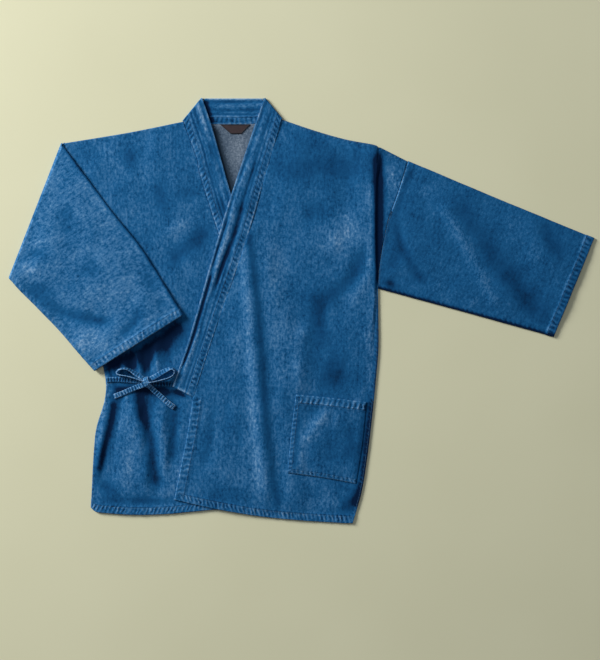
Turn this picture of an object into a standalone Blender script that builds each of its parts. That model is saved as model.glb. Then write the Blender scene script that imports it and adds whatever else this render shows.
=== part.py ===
"""A samue jacket of washed denim, laid flat with its right sleeve folded over the front.

Metres, +Z up. Seen from above, +Y runs to the collar and +X to the wearer's left sleeve. The
jacket lies on the plane z = 0. Each cut piece is a wall of cloth about a middle surface of rows
and columns of points.
"""

import bmesh
import bpy
import numpy as np
from mathutils import Vector
from mathutils.bvhtree import BVHTree

# Cloth and seams
CLOTH = 0.0012
GAP = 0.0003
HEM_WIDTH = 0.015
HEM_RISE = 0.0007
FACING_WIDTH = 0.018
STEP_WIDTH = 0.002
BAND_THICK = 0.0026
ROPE_RISE = 0.0005
TUBE_AIR = 0.0006
LABEL_THICK = 0.0010
STRAP_THICK = 0.0018
STRAP_WIDTH = 0.0095

# Shoulders, armholes and side seams, each a smooth line through plan points (x, y)
SHOULDER_LEFT = ((-0.036, 0.363), (0.029, 0.341), (0.086, 0.325), (0.138, 0.315))
SHOULDER_LEFT_END = ((0.150, 0.309), (0.176, 0.297), (0.204, 0.283))
ARMHOLE_LEFT = (
    (0.204, 0.283),
    (0.186, 0.226),
    (0.168, 0.177),
    (0.157, 0.128),
    (0.150, 0.084),
    (0.147, 0.043),
)
SIDE_LEFT = (
    (0.147, 0.043),
    (0.148, -0.020),
    (0.148, -0.075),
    (0.143, -0.134),
    (0.137, -0.195),
    (0.127, -0.279),
    (0.116, -0.346),
    (0.099, -0.405),
)
SHOULDER_RIGHT = ((-0.223, 0.359), (-0.327, 0.338), (-0.448, 0.318))
ARMHOLE_RIGHT = (
    (-0.448, 0.318),
    (-0.446, 0.263),
    (-0.434, 0.210),
    (-0.421, 0.143),
    (-0.412, 0.092),
    (-0.408, 0.050),
)
SIDE_RIGHT = (
    (-0.408, 0.050),
    (-0.398, -0.018),
    (-0.383, -0.079),
    (-0.371, -0.132),
    (-0.373, -0.172),
    (-0.388, -0.222),
    (-0.393, -0.267),
    (-0.399, -0.374),
)
NECKLINE = ((-0.223, 0.359), (-0.168, 0.3545), (-0.090, 0.3545), (-0.036, 0.363))
SIDE_TUCK = 0.001

# Hems
HEM_BACK = (
    (-0.398, -0.372),
    (-0.322, -0.383),
    (-0.200, -0.378),
    (-0.060, -0.388),
    (0.098, -0.403),
)
HEM_LEFT = (
    (-0.240, -0.360),
    (-0.165, -0.377),
    (-0.077, -0.392),
    (0.005, -0.400),
    (0.099, -0.405),
)
HEM_RIGHT_SHOWN = (
    (-0.205, -0.383),
    (-0.260, -0.388),
    (-0.322, -0.389),
    (-0.372, -0.386),
    (-0.399, -0.374),
)
HEM_RIGHT_HIDDEN = ((-0.016, -0.366), (-0.110, -0.374), (-0.205, -0.383))

# Collar band and front edges. The outer line is the seam with the front, the inner line is free.
BAND_LEFT_OUTER = (
    (-0.036, 0.363),
    (-0.068, 0.255),
    (-0.104, 0.131),
    (-0.162, -0.036),
    (-0.204, -0.165),
)
BAND_LEFT_INNER = (
    (-0.069, 0.403),
    (-0.089, 0.346),
    (-0.132, 0.219),
    (-0.159, 0.131),
    (-0.210, -0.048),
    (-0.243, -0.145),
)
BAND_RIGHT_OUTER = (
    (-0.223, 0.359),
    (-0.197, 0.288),
    (-0.191, 0.258),
    (-0.156, 0.146),
    (-0.102, -0.010),
    (-0.051, -0.165),
)
BAND_RIGHT_INNER = (
    (-0.187, 0.403),
    (-0.168, 0.346),
    (-0.132, 0.219),
    (-0.110, 0.150),
    (-0.060, 0.000),
    (-0.012, -0.145),
)
EDGE_LEFT = ((-0.204, -0.165), (-0.216, -0.239), (-0.227, -0.294), (-0.240, -0.360))
EDGE_RIGHT = ((-0.051, -0.165), (-0.038, -0.239), (-0.027, -0.294), (-0.016, -0.366))
BAND_SECTION = (
    # share of the width from the outer seam, share of the roped seam's rise
    (0.00, 0.3),
    (0.12, 1.0),
    (0.24, 0.0),
    (0.62, 0.0),
    (1.00, 0.0),
)

# The turn of the collar at the neck: the leg that tucks under, how far the turn stays inside the
# band's seam, its air from the neck part, the share of the band that rises to it, and its steps
TURN_LEG = 0.004
TURN_INSET = 0.003
TURN_CLEARANCE = 0.0016
TURN_RAMP = 0.125
TURN_STEPS = 5

# The pleat that the armpit pushes into the left front: a row for each place down its fold
PLEAT = (
    # y, x of the fold, rise of the upper layer, depth tucked under
    (0.3120, 0.1500, 0.0000, 0.0000),
    (0.2750, 0.1470, 0.0024, 0.0000),
    (0.2300, 0.1465, 0.0033, 0.0030),
    (0.1500, 0.1455, 0.0033, 0.0060),
    (0.0700, 0.1465, 0.0033, 0.0050),
    (0.0250, 0.1440, 0.0026, 0.0010),
    (-0.0300, 0.1370, 0.0016, 0.0000),
    (-0.0900, 0.1340, 0.0006, 0.0000),
    (-0.1500, 0.1300, 0.0000, 0.0000),
    (-0.4100, 0.0860, 0.0000, 0.0000),
)
PLEAT_SECTION = (
    # pitches out from the fold, share of the depth tucked under, share of the rise
    (-1.0, 0.00, 1.00),
    (0.0, 0.00, 0.72),
    (1.0, 0.12, 0.50),
    (2.0, 0.88, 0.28),
    (3.0, 1.00, 0.00),
)
PLEAT_REACH = 0.075
PLEAT_PITCH = 0.0014
PLEAT_INSET = 0.0028
PLEAT_TO_SEAM = (0.33, 0.66, 1.0)

# Sleeves: the edges of the spread one from the armhole to the cuff, then the fold line of the
# other and the edges of what lies on the front
SLEEVE_LEFT_UNDER = ((0.1475, 0.043), (0.316, -0.003), (0.482, -0.049))
SLEEVE_LEFT_TOP = ((0.204, 0.283), (0.380, 0.209), (0.558, 0.136))
FOLD_TOP = (-0.456, 0.317)
FOLD_LOW = (-0.555, 0.063)
FOLDED_TOP = ((-0.456, 0.317), (-0.368, 0.198), (-0.299, 0.111), (-0.225, -0.010))
FOLDED_UNDER = ((-0.555, 0.063), (-0.470, -0.024), (-0.388, -0.113))

# Loft of each panel above what it lies on, how far in from its seams it reaches this, and how far
# the folded sleeve's cuff stands off the front
LOFT_FRONT = 0.0012
LOFT_SLEEVE = 0.0022
LOFT_REACH = 0.060
CUFF_LIFT = 0.0035
CUFF_REACH = 0.110
DRAPE_ROUNDS = 60
DRAPE_SAG = 0.00025

# Main folds: a row each, from one end to the other, ridges up and troughs down
FOLDS_FRONT_LEFT = (
    # x start, y start, x end, y end, width, height
    (-0.106, 0.124, -0.064, -0.355, 0.012, 0.0028),
    (-0.081, 0.096, -0.039, -0.360, 0.012, -0.0012),
    (0.065, 0.290, 0.100, 0.180, 0.040, -0.0010),
    (0.122, 0.112, 0.078, 0.005, 0.014, -0.0018),
    (0.010, -0.028, 0.004, -0.161, 0.016, 0.0016),
    (0.062, -0.193, 0.014, -0.275, 0.012, 0.0022),
    (0.081, -0.186, 0.084, -0.270, 0.010, 0.0014),
    (0.060, -0.346, 0.118, -0.334, 0.012, -0.0012),
    (0.078, -0.392, 0.116, -0.352, 0.014, -0.0016),
    (-0.163, -0.180, -0.187, -0.300, 0.014, -0.0012),
)
FOLDS_FRONT_RIGHT = (
    (-0.361, -0.190, -0.389, -0.311, 0.008, 0.0040),
    (-0.345, -0.166, -0.371, -0.315, 0.010, -0.0036),
    (-0.313, -0.161, -0.290, -0.332, 0.014, 0.0034),
    (-0.300, -0.161, -0.274, -0.341, 0.010, -0.0040),
    (-0.266, -0.180, -0.258, -0.303, 0.010, 0.0030),
    (-0.242, -0.167, -0.242, -0.288, 0.009, -0.0022),
    (-0.352, -0.056, -0.347, -0.135, 0.007, -0.0030),
    (-0.339, -0.056, -0.334, -0.135, 0.006, 0.0034),
    (-0.326, -0.048, -0.320, -0.135, 0.007, -0.0032),
    (-0.311, -0.045, -0.307, -0.135, 0.006, 0.0034),
    (-0.286, -0.030, -0.292, -0.134, 0.008, -0.0030),
    (-0.271, -0.030, -0.275, -0.134, 0.007, 0.0030),
)
FOLDS_SLEEVE_LEFT = (
    (0.274, 0.219, 0.407, 0.010, 0.022, 0.0026),
    (0.337, 0.200, 0.464, 0.020, 0.020, -0.0018),
    (0.432, 0.175, 0.493, 0.080, 0.018, 0.0014),
    (0.180, 0.070, 0.290, 0.060, 0.018, -0.0012),
)
FOLDS_SLEEVE_RIGHT = (
    (-0.529, 0.050, -0.457, 0.023, 0.014, -0.0022),
    (-0.446, 0.001, -0.353, -0.028, 0.013, -0.0022),
    (-0.500, 0.110, -0.330, 0.030, 0.030, 0.0010),
    (-0.455, 0.230, -0.400, 0.120, 0.030, -0.0006),
)

# Pocket and label
POCKET_TOP = ((-0.009, -0.160), (0.060, -0.167), (0.126, -0.175))
POCKET_LOW = ((-0.025, -0.309), (0.045, -0.319), (0.106, -0.330))
POCKET_LEFT = ((-0.009, -0.160), (-0.018, -0.235), (-0.025, -0.309))
POCKET_RIGHT = ((0.126, -0.175), (0.118, -0.255), (0.106, -0.330))
POCKET_HEM = 0.018
POCKET_ROWS = 7
POCKET_COLUMNS = 8
LABEL_TOP = ((-0.153, 0.3535), (-0.096, 0.3535))
LABEL_LOW = ((-0.133, 0.336), (-0.113, 0.336))
LABEL_ROWS = 2
LABEL_COLUMNS = 4

# Ties: each row is a place along a strap, x, y, how far its lower edge is held off what it lies
# on, and how far it is turned up on edge: 0 for lying flat, 1 for standing on its right edge, -1
# on its left edge. A strap that runs into the knot ends just short of it.
TIES = {
    "tie_side_strap": (
        (-0.3690, -0.1325, 0.0000, 0.0),
        (-0.3500, -0.1315, 0.0000, 0.0),
        (-0.3260, -0.1330, 0.0000, 0.0),
        (-0.2920, -0.1365, 0.0000, 0.0),
    ),
    "tie_front_strap": (
        (-0.2442, -0.1405, 0.0000, 0.0),
        (-0.2520, -0.1400, 0.0000, 0.0),
        (-0.2680, -0.1395, 0.0000, 0.0),
        (-0.2920, -0.1365, 0.0000, 0.0),
    ),
    "tie_side_end": (
        (-0.2950, -0.1400, 0.0016, 0.15),
        (-0.3020, -0.1430, 0.0016, 0.15),
        (-0.3120, -0.1465, 0.0008, 0.10),
        (-0.3250, -0.1520, 0.0000, 0.05),
        (-0.3390, -0.1580, 0.0000, 0.00),
        (-0.3550, -0.1640, 0.0000, 0.00),
    ),
    "tie_front_end": (
        (-0.2900, -0.1400, 0.0016, 0.15),
        (-0.2840, -0.1470, 0.0014, 0.15),
        (-0.2750, -0.1555, 0.0006, 0.05),
        (-0.2640, -0.1650, 0.0000, 0.00),
        (-0.2530, -0.1750, 0.0000, 0.00),
        (-0.2400, -0.1850, 0.0000, 0.00),
    ),
    "tie_side_loop": (
        (-0.2950, -0.1320, 0.0006, 0.50),
        (-0.3020, -0.1270, 0.0006, 0.50),
        (-0.3130, -0.1205, 0.0006, 0.60),
        (-0.3240, -0.1135, 0.0006, 0.85),
        (-0.3350, -0.1105, 0.0004, 1.00),
        (-0.3460, -0.1130, 0.0004, 1.00),
        (-0.3500, -0.1190, 0.0006, 1.00),
        (-0.3450, -0.1230, 0.0004, 1.00),
        (-0.3300, -0.1255, 0.0000, 1.00),
        (-0.3150, -0.1295, 0.0000, 1.00),
        (-0.3030, -0.1340, 0.0000, 0.95),
        (-0.2950, -0.1365, 0.0000, 0.95),
    ),
    "tie_front_loop": (
        (-0.2890, -0.1325, 0.0006, -0.35),
        (-0.2790, -0.1275, 0.0006, -0.30),
        (-0.2680, -0.1210, 0.0004, -0.30),
        (-0.2560, -0.1140, 0.0002, -0.50),
        (-0.2450, -0.1105, 0.0000, -0.90),
        (-0.2385, -0.1155, 0.0000, -1.00),
        (-0.2410, -0.1235, 0.0000, -1.00),
        (-0.2500, -0.1290, 0.0000, -1.00),
        (-0.2620, -0.1325, 0.0000, -1.00),
        (-0.2740, -0.1355, 0.0000, -1.00),
        (-0.2820, -0.1370, 0.0000, -1.00),
        (-0.2890, -0.1380, 0.0000, -1.00),
    ),
}
STRAP_STEPS = 4
STRAP_FOOTPRINT = (-1.0, -0.5, 0.0, 0.5, 1.0)
STRAP_SPREAD = 4
STRAP_AIR = 0.0006
KNOT = {"x": -0.2920, "y": -0.1365, "long": 0.0082, "across": 0.0068, "tall": 0.0060, "turn": 0.35}
KNOT_RINGS = 9
KNOT_SIDES = 12
KNOT_FULLNESS = 0.6
KNOT_FOOTPRINT = ((0.0, 0.0), (0.6, 0.0), (-0.6, 0.0), (0.0, 0.6), (0.0, -0.6))

# Stations down and across the panels
ROWS_ARMHOLE = 10
ROWS_SIDE = 14
ROWS_BAND = 18
COLUMNS_SHOULDER_RIGHT = 5
COLUMNS_SHOULDER_LEFT = 3
COLUMNS_SHOULDER_LEFT_END = 2
COLUMNS_NECK = 4
COLUMNS_FRONT_LEFT = 22
COLUMNS_FRONT_HIDDEN = 4
COLUMNS_FRONT_SHOWN = 15
SLEEVE_LEFT_SECTIONS = 18
ROOT_SECTIONS = 5
TURN_SECTIONS = 5
FOLDED_SECTIONS = 11
HEM_STATIONS = (HEM_WIDTH + STEP_WIDTH, HEM_WIDTH, 0.5 * HEM_WIDTH)

# Smoothness: steps between the points of a line, the finer grid that finds what lies under a
# piece, the share of its length over which a fold fades at each end, and the angle of a sharp edge
LINE_STEPS = 12
FINER = 3
FOLD_FADE = 0.15
SHARP_DEGREES = 50
RAY_HEIGHT = 1.0

# Colours of the washed denim, its greyer reverse and the label
DENIM = (0.040, 0.125, 0.300, 1.0)
DENIM_PALE = (0.075, 0.180, 0.370, 1.0)
DENIM_REVERSE = (0.150, 0.190, 0.260, 1.0)
LABEL_COLOUR = (0.030, 0.010, 0.012, 1.0)


def smooth_line(points):
    """A fine polyline of a smooth curve through these points, and the distance to each of its points."""
    points = np.array(points, float)
    ends = np.vstack([2 * points[0] - points[1], points, 2 * points[-1] - points[-2]])
    pieces = []
    for before, start, end, after in zip(ends, ends[1:], ends[2:], ends[3:]):
        s = np.linspace(0.0, 1.0, LINE_STEPS, endpoint=False)[:, None]
        pieces.append(
            start
            + 0.5 * s * (end - before)
            + s**2 * (before - 2.5 * start + 2 * end - 0.5 * after)
            + s**3 * (1.5 * (start - end) + 0.5 * (after - before))
        )
    fine = np.vstack(pieces + [points[-1:]])
    steps = np.linalg.norm(np.diff(fine, axis=0), axis=1)
    return fine, np.concatenate([[0.0], np.cumsum(steps)])


def edge(points, count, start=(), end=()):
    """Points along an edge: at named distances from its two ends, and count spans between those."""
    fine, distance = smooth_line(points)
    first = [0.0, *start]
    last = [distance[-1] - d for d in end] + [distance[-1]]
    stations = np.concatenate([first, np.linspace(first[-1], last[0], count + 1)[1:-1], last])
    return np.column_stack([np.interp(stations, distance, fine[:, k]) for k in range(fine.shape[1])])


def joined(*edges):
    """Edges that meet end to end, as one."""
    return np.vstack([edges[0]] + [later[1:] for later in edges[1:]])


def lengthwise(points):
    """The share of its length at which each point of an edge lies."""
    steps = np.linalg.norm(np.diff(points, axis=0), axis=1)
    total = np.concatenate([[0.0], np.cumsum(steps)])
    return total / total[-1]


def patch(left, right, top, bottom):
    """Rows and columns of plan points that fill the four edges of a panel."""
    v = 0.5 * (lengthwise(left) + lengthwise(right))[:, None, None]
    u = 0.5 * (lengthwise(top) + lengthwise(bottom))[None, :, None]
    across = (1 - u) * left[:, None] + u * right[:, None]
    down = (1 - v) * top[None] + v * bottom[None]
    corners = (
        (1 - v) * ((1 - u) * top[0] + u * top[-1]) + v * ((1 - u) * bottom[0] + u * bottom[-1])
    )
    return across + down - corners


def shifted(line, distance):
    """A plan line moved sideways, to the left of its direction for a positive distance."""
    along = np.gradient(line, axis=0)
    along /= np.linalg.norm(along, axis=1)[:, None]
    return line + distance * np.column_stack([-along[:, 1], along[:, 0]])


def smoothstep(value):
    value = np.clip(value, 0.0, 1.0)
    return value * value * (3 - 2 * value)


def edge_distance(plan, sides):
    """How far each point of a panel lies from the nearest of its named sides."""
    across = np.linalg.norm(np.diff(plan, axis=1), axis=2)
    down = np.linalg.norm(np.diff(plan, axis=0), axis=2)
    from_left = np.pad(np.cumsum(across, axis=1), ((0, 0), (1, 0)))
    from_top = np.pad(np.cumsum(down, axis=0), ((1, 0), (0, 0)))
    found = {
        "left": from_left,
        "right": from_left[:, -1:] - from_left,
        "top": from_top,
        "bottom": from_top[-1:] - from_top,
    }
    return np.min([found[side] for side in sides], axis=0)


def fold_height(plan, folds):
    """The height that the listed ridges and troughs add at each plan point."""
    total = np.zeros(plan.shape[:-1])
    for x0, y0, x1, y1, width, height in folds:
        start = np.array((x0, y0))
        way = np.array((x1, y1)) - start
        length = np.linalg.norm(way)
        way = way / length
        along = (plan - start) @ way / length
        side = (plan - start) @ np.array((-way[1], way[0]))
        from_end = np.minimum(along, 1 - along)
        fade = smoothstep((from_end + FOLD_FADE) / (2 * FOLD_FADE))
        total += height * fade * np.exp(-((side / width) ** 2))
    return total


def top_of(trees, x, y):
    """The height of whatever lies at a plan point, and 0 for the floor."""
    above = Vector((x, y, RAY_HEIGHT))
    down = Vector((0.0, 0.0, -1.0))
    hits = [tree.ray_cast(above, down)[0] for tree in trees]
    return max([0.0] + [hit.z for hit in hits if hit])


def finer(plan, times):
    """The same panel with each cell divided this many times each way."""
    for axis in (0, 1):
        count = plan.shape[axis]
        places = np.linspace(0, count - 1, (count - 1) * times + 1)
        low = np.clip(places.astype(int), 0, count - 2)
        shape = [1, 1, 1]
        shape[axis] = -1
        share = (places - low).reshape(shape)
        plan = (1 - share) * np.take(plan, low, axis) + share * np.take(plan, low + 1, axis)
    return plan


def resting_height(plan, trees, below, clearance=GAP):
    """The lowest middle surface that clears the pieces underneath all round each point."""
    fine = finer(plan, FINER)
    tops = np.array([[top_of(trees, x, y) for x, y in row] for row in fine])
    tops = np.where(tops > 0, tops + clearance, 0.0)
    padded = np.pad(tops, FINER, mode="edge")
    window = 2 * FINER + 1
    lowest = np.empty(plan.shape[:2])
    for i in range(plan.shape[0]):
        for j in range(plan.shape[1]):
            around = padded[i * FINER :, j * FINER :][:window, :window]
            lowest[i, j] = around.max() + below
    return lowest


def drape(lowest):
    """Cloth that hangs in soft slopes from what lifts it."""
    height = lowest.copy()
    for _ in range(DRAPE_ROUNDS):
        padded = np.pad(height, 1, mode="edge")
        mean = (padded[:-2, 1:-1] + padded[2:, 1:-1] + padded[1:-1, :-2] + padded[1:-1, 2:]) / 4
        height = np.maximum(lowest, mean - DRAPE_SAG)
    return height


def surface(plan, height):
    return np.concatenate([plan, height[..., None]], axis=2)


def face_normals(points, ring):
    """Unit normals of a grid: out of a ring, and up from a panel."""
    across = np.roll(points, -1, 1) - np.roll(points, 1, 1) if ring else np.gradient(points, axis=1)
    along = np.gradient(points, axis=0)
    normal = np.cross(along, across)
    if ring:
        outward = np.sum(normal * (points - points.mean(axis=1, keepdims=True)))
    else:
        outward = normal[..., 2].sum()
    return np.sign(outward) * normal / np.linalg.norm(normal, axis=2)[..., None]


def material(name, colour, roughness):
    made = bpy.data.materials.new(name)
    made.use_nodes = True
    shader = made.node_tree.nodes["Principled BSDF"]
    shader.inputs["Base Color"].default_value = colour
    shader.inputs["Roughness"].default_value = roughness
    shader.inputs["Metallic"].default_value = 0.0
    return made


def closed_mesh(name, vertices, faces, colour, roughness=0.85):
    """One closed object, its faces pointing out."""
    mesh = bpy.data.meshes.new(name)
    mesh.from_pydata([tuple(v) for v in vertices], [], faces)
    work = bmesh.new()
    work.from_mesh(mesh)
    if work.calc_volume(signed=True) < 0:
        bmesh.ops.reverse_faces(work, faces=work.faces)
    work.to_mesh(mesh)
    work.free()
    mesh.shade_smooth()
    mesh.set_sharp_from_angle(angle=np.radians(SHARP_DEGREES))
    made = bpy.data.objects.new(name, mesh)
    mesh.materials.append(material(name, colour, roughness))
    bpy.context.scene.collection.objects.link(made)
    return made


def wall(name, middle, above, below, colour, ring=False):
    """A cloth wall about its middle surface, with a thickness on each side of it."""
    normal = face_normals(middle, ring)
    rows, columns = middle.shape[:2]
    outer = middle + normal * np.broadcast_to(above, (rows, columns))[..., None]
    inner = middle - normal * np.broadcast_to(below, (rows, columns))[..., None]
    vertices = np.concatenate([outer.reshape(-1, 3), inner.reshape(-1, 3)])
    under = rows * columns
    spans = columns if ring else columns - 1
    faces = []
    for i in range(rows - 1):
        for j in range(spans):
            a, b = i * columns + j, i * columns + (j + 1) % columns
            c, d = b + columns, a + columns
            faces.append((a, b, c, d))
            faces.append((under + d, under + c, under + b, under + a))
    for j in range(spans):
        a, b = j, (j + 1) % columns
        faces.append((b, a, under + a, under + b))
        a, b = (rows - 1) * columns + j, (rows - 1) * columns + (j + 1) % columns
        faces.append((a, b, under + b, under + a))
    if not ring:
        for i in range(rows - 1):
            a, b = i * columns, (i + 1) * columns
            faces.append((a, b, under + b, under + a))
            a, b = a + columns - 1, b + columns - 1
            faces.append((b, a, under + a, under + b))
    return closed_mesh(name, vertices, faces, colour)


def tree_of(made):
    """The faces of a finished piece, for what lies on it."""
    mesh = made.data
    corners = [v.co.copy() for v in mesh.vertices]
    return BVHTree.FromPolygons(corners, [tuple(face.vertices) for face in mesh.polygons])


def band_rise(distance, width):
    """Extra outer thickness of a turned hem, within its width of the edge."""
    return HEM_RISE * smoothstep((width + STEP_WIDTH - distance) / STEP_WIDTH)


def side_edge(armhole, side):
    """Armhole and side seam of a body panel, at the stations that every panel shares."""
    return joined(
        edge(armhole, ROWS_ARMHOLE),
        edge(side, ROWS_SIDE, end=HEM_STATIONS),
    )


def front_edge(band, opening):
    """Collar seam and front opening of a front, at the same stations."""
    return joined(
        edge(band, ROWS_BAND),
        edge(opening, ROWS_ARMHOLE + ROWS_SIDE - ROWS_BAND, end=HEM_STATIONS),
    )


def build_back():
    """The back panel lies on the floor, its outer face down."""
    left = shifted(side_edge(ARMHOLE_RIGHT, SIDE_RIGHT), SIDE_TUCK)
    right = shifted(side_edge(ARMHOLE_LEFT, SIDE_LEFT), -SIDE_TUCK)
    top = joined(
        edge(SHOULDER_RIGHT[::-1], COLUMNS_SHOULDER_RIGHT),
        edge(NECKLINE, COLUMNS_NECK),
        edge(SHOULDER_LEFT, COLUMNS_SHOULDER_LEFT),
        edge(SHOULDER_LEFT[-1:] + SHOULDER_LEFT_END, COLUMNS_SHOULDER_LEFT_END),
    )
    top[0], top[-1] = left[0], right[0]
    top[1:-1, 1] -= SIDE_TUCK
    bottom = edge(HEM_BACK, len(top) - 1)
    bottom[0], bottom[-1] = left[-1], right[-1]
    plan = patch(left, right, top, bottom)
    middle = surface(plan, np.full(plan.shape[:2], 0.5 * CLOTH))
    return wall("back", middle, 0.5 * CLOTH, 0.5 * CLOTH, DENIM_REVERSE)


def front_thickness(plan):
    """Outer half of a front's wall, thicker over its hem and the facing of its edge."""
    hem = band_rise(edge_distance(plan, ("bottom",)), HEM_WIDTH)
    facing = band_rise(edge_distance(plan, ("left",)), FACING_WIDTH)
    rows = np.arange(plan.shape[0])[:, None]
    facing = np.where(rows > ROWS_BAND, facing, 0.0)
    return 0.5 * CLOTH + np.maximum(hem, facing)


def lofted(plan, lowest, height, sides, folds):
    """The draped height with the air under the cloth and its folds, never below what it rests on."""
    air = height * smoothstep(edge_distance(plan, sides) / LOFT_REACH)
    return np.maximum(lowest, drape(lowest) + air + fold_height(plan, folds))


def build_front_right(trees):
    """The lower front. Its columns are closer where the tie gathers it."""
    near = (FACING_WIDTH, FACING_WIDTH + STEP_WIDTH)
    left = front_edge(BAND_RIGHT_OUTER, EDGE_RIGHT)
    right = side_edge(ARMHOLE_RIGHT, SIDE_RIGHT)
    bottom = joined(
        edge(HEM_RIGHT_HIDDEN, COLUMNS_FRONT_HIDDEN, start=near),
        edge(HEM_RIGHT_SHOWN, COLUMNS_FRONT_SHOWN),
    )
    top = edge(SHOULDER_RIGHT, len(bottom) - 1 - len(near), start=near)
    plan = patch(left, right, top, bottom)
    lowest = resting_height(plan, trees, 0.5 * CLOTH)
    height = lofted(plan, lowest, LOFT_FRONT, ("left", "right", "top", "bottom"), FOLDS_FRONT_RIGHT)
    return wall("front_right", surface(plan, height), front_thickness(plan), 0.5 * CLOTH, DENIM)


def pleat_columns(fold, rise, tuck, low, edge_point):
    """Points from the fold of the pleat, back under it, and out to the armhole or side seam."""
    pitches, tucked, level = np.array(PLEAT_SECTION).T
    inset = PLEAT_INSET if tuck > 0 else 0.0
    x = fold[0] + pitches * PLEAT_PITCH - tucked * tuck - inset
    points = [np.array((x[k], fold[1], low + rise * level[k])) for k in range(len(x))]
    last = points[-1]
    end = np.array((edge_point[0], edge_point[1], low))
    return points + [last + (end - last) * share for share in PLEAT_TO_SEAM]


def build_front_left(trees):
    """The upper front. Rows cross a pleat that folds back under itself beside the armhole."""
    left = front_edge(BAND_LEFT_OUTER, EDGE_LEFT)
    right = side_edge(ARMHOLE_LEFT, SIDE_LEFT)
    table = np.array(PLEAT)[::-1]
    fold = np.column_stack([np.interp(right[:, 1], table[:, 0], table[:, k]) for k in (1, 2, 3)])
    fold_line = np.column_stack([fold[:, 0], right[:, 1]])
    fold_line[0] = SHOULDER_LEFT_END[0]
    near = (FACING_WIDTH, FACING_WIDTH + STEP_WIDTH)
    top = edge(SHOULDER_LEFT + SHOULDER_LEFT_END[:1], COLUMNS_FRONT_LEFT, start=near)
    bottom = edge(HEM_LEFT[:-1] + (tuple(fold_line[-1]),), COLUMNS_FRONT_LEFT, start=near)
    plan = patch(left, fold_line, top, bottom)
    lowest = resting_height(plan, trees, 0.5 * CLOTH)
    height = lofted(plan, lowest, LOFT_FRONT, ("left", "top", "bottom"), FOLDS_FRONT_LEFT)
    lift = smoothstep(1 - edge_distance(plan, ("right",)) / PLEAT_REACH)
    height = np.maximum(lowest, height * (1 - lift) + lift * (lowest[:, -1:] + fold[:, 1:2]))
    flat = surface(plan, height)
    rows = []
    for i, edge_point in enumerate(right):
        pleat = pleat_columns(fold_line[i], fold[i, 1], fold[i, 2], lowest[i, -1], edge_point)
        rows.append(list(flat[i, :-1]) + pleat)
    middle = np.array(rows)
    above = front_thickness(middle[..., :2])
    return wall("front_left", middle, above, 0.5 * CLOTH, DENIM)


def band_rows(outer, inner):
    """Rows across a collar band, from its outer seam to its free edge."""
    shares = np.array(BAND_SECTION)[None, :, :1]
    inset = np.full(len(outer), GAP)
    inset[0] = TURN_INSET
    inset /= np.linalg.norm(inner - outer, axis=1)
    shares = shares + (1 - shares) * inset[:, None, None]
    return outer[:, None] * (1 - shares) + inner[:, None] * shares


def build_band(name, outer_points, inner_points, trees, way_in):
    """A collar band that runs up a front and turns over at the neck, where it meets the back part."""
    plan = band_rows(edge(outer_points, ROWS_BAND), edge(inner_points, ROWS_BAND))
    half = 0.5 * BAND_THICK
    lowest = resting_height(plan, trees, half)
    over = BAND_THICK + GAP + half
    ramp = smoothstep(1 - lengthwise(plan[:, 0])[:, None] / TURN_RAMP)
    height = np.maximum(drape(lowest), over * ramp)
    top = surface(plan, height)
    radius = 0.5 * (over - half)
    turn = []
    for angle in np.linspace(0.0, np.pi, TURN_STEPS + 1)[:-1]:
        row = top[0].copy()
        row[:, 2] = half + radius - radius * np.cos(angle)
        row[:, :2] -= way_in * radius * np.sin(angle)
        turn.append(row)
    leg = turn[0].copy()
    leg[:, :2] += way_in * TURN_LEG
    middle = np.array([leg] + turn + list(top))
    rope = np.array(BAND_SECTION)[:, 1] * ROPE_RISE
    above = np.broadcast_to(half + rope, middle.shape[:2]).copy()
    above[: len(turn) + 2] = half
    return wall(name, middle, above, half, DENIM)


def build_collar_neck():
    """The part of the band behind the neck, flat on the floor beyond the back's neckline."""
    lower = edge(NECKLINE, 2 * COLUMNS_NECK)
    lower[:, 1] += GAP + SIDE_TUCK
    upper = edge((BAND_RIGHT_INNER[0], BAND_LEFT_INNER[0]), 2 * COLUMNS_NECK)
    shares = np.array(BAND_SECTION)[:, :1, None]
    plan = (1 - shares) * lower[None] + shares * upper[None]
    plan[..., 0] = mix_inward(plan[..., 0], TURN_LEG + TURN_CLEARANCE)
    half = 0.5 * BAND_THICK
    middle = surface(plan, np.full(plan.shape[:2], half))
    return wall("collar_neck", middle[::-1], half, half, DENIM)


def mix_inward(x, inset):
    """Places across each row, with its two ends moved in."""
    low, high = x[:, :1], x[:, -1:]
    share = (x - low) / (high - low)
    return (low + inset) * (1 - share) + (high - inset) * share


def tube_ring(low_layer, high_layer, outward):
    """One section of a flattened sleeve: a layer, a rounded edge, the other layer and its edge."""
    far = 0.5 * (low_layer[-1] + high_layer[-1]) + outward[1]
    near = 0.5 * (low_layer[0] + high_layer[0]) + outward[0]
    return np.vstack([low_layer, far[None], high_layer[::-1], near[None]])


def edge_bulge(start, end, reach):
    """Plan steps that round a sleeve's two edges outward."""
    way = (end - start) / np.linalg.norm(end - start)
    step = np.array((way[0], way[1], 0.0)) * reach
    return -step, step


def tube_thickness(rise, upper_first):
    """Outer half of a sleeve's wall, with its hem raised on its upper layer alone."""
    plain = np.zeros_like(rise)
    turned = np.zeros((len(rise), 1))
    layers = (rise, turned, plain, turned) if upper_first else (plain, turned, rise[:, ::-1], turned)
    return 0.5 * CLOTH + np.hstack(layers)


def sleeve_loft(plan, folds):
    """The air between a sleeve's two layers, with its folds."""
    air = LOFT_SLEEVE * smoothstep(edge_distance(plan, ("left", "right", "top")) / LOFT_REACH)
    return np.maximum(0.0, air + fold_height(plan, folds))


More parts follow.
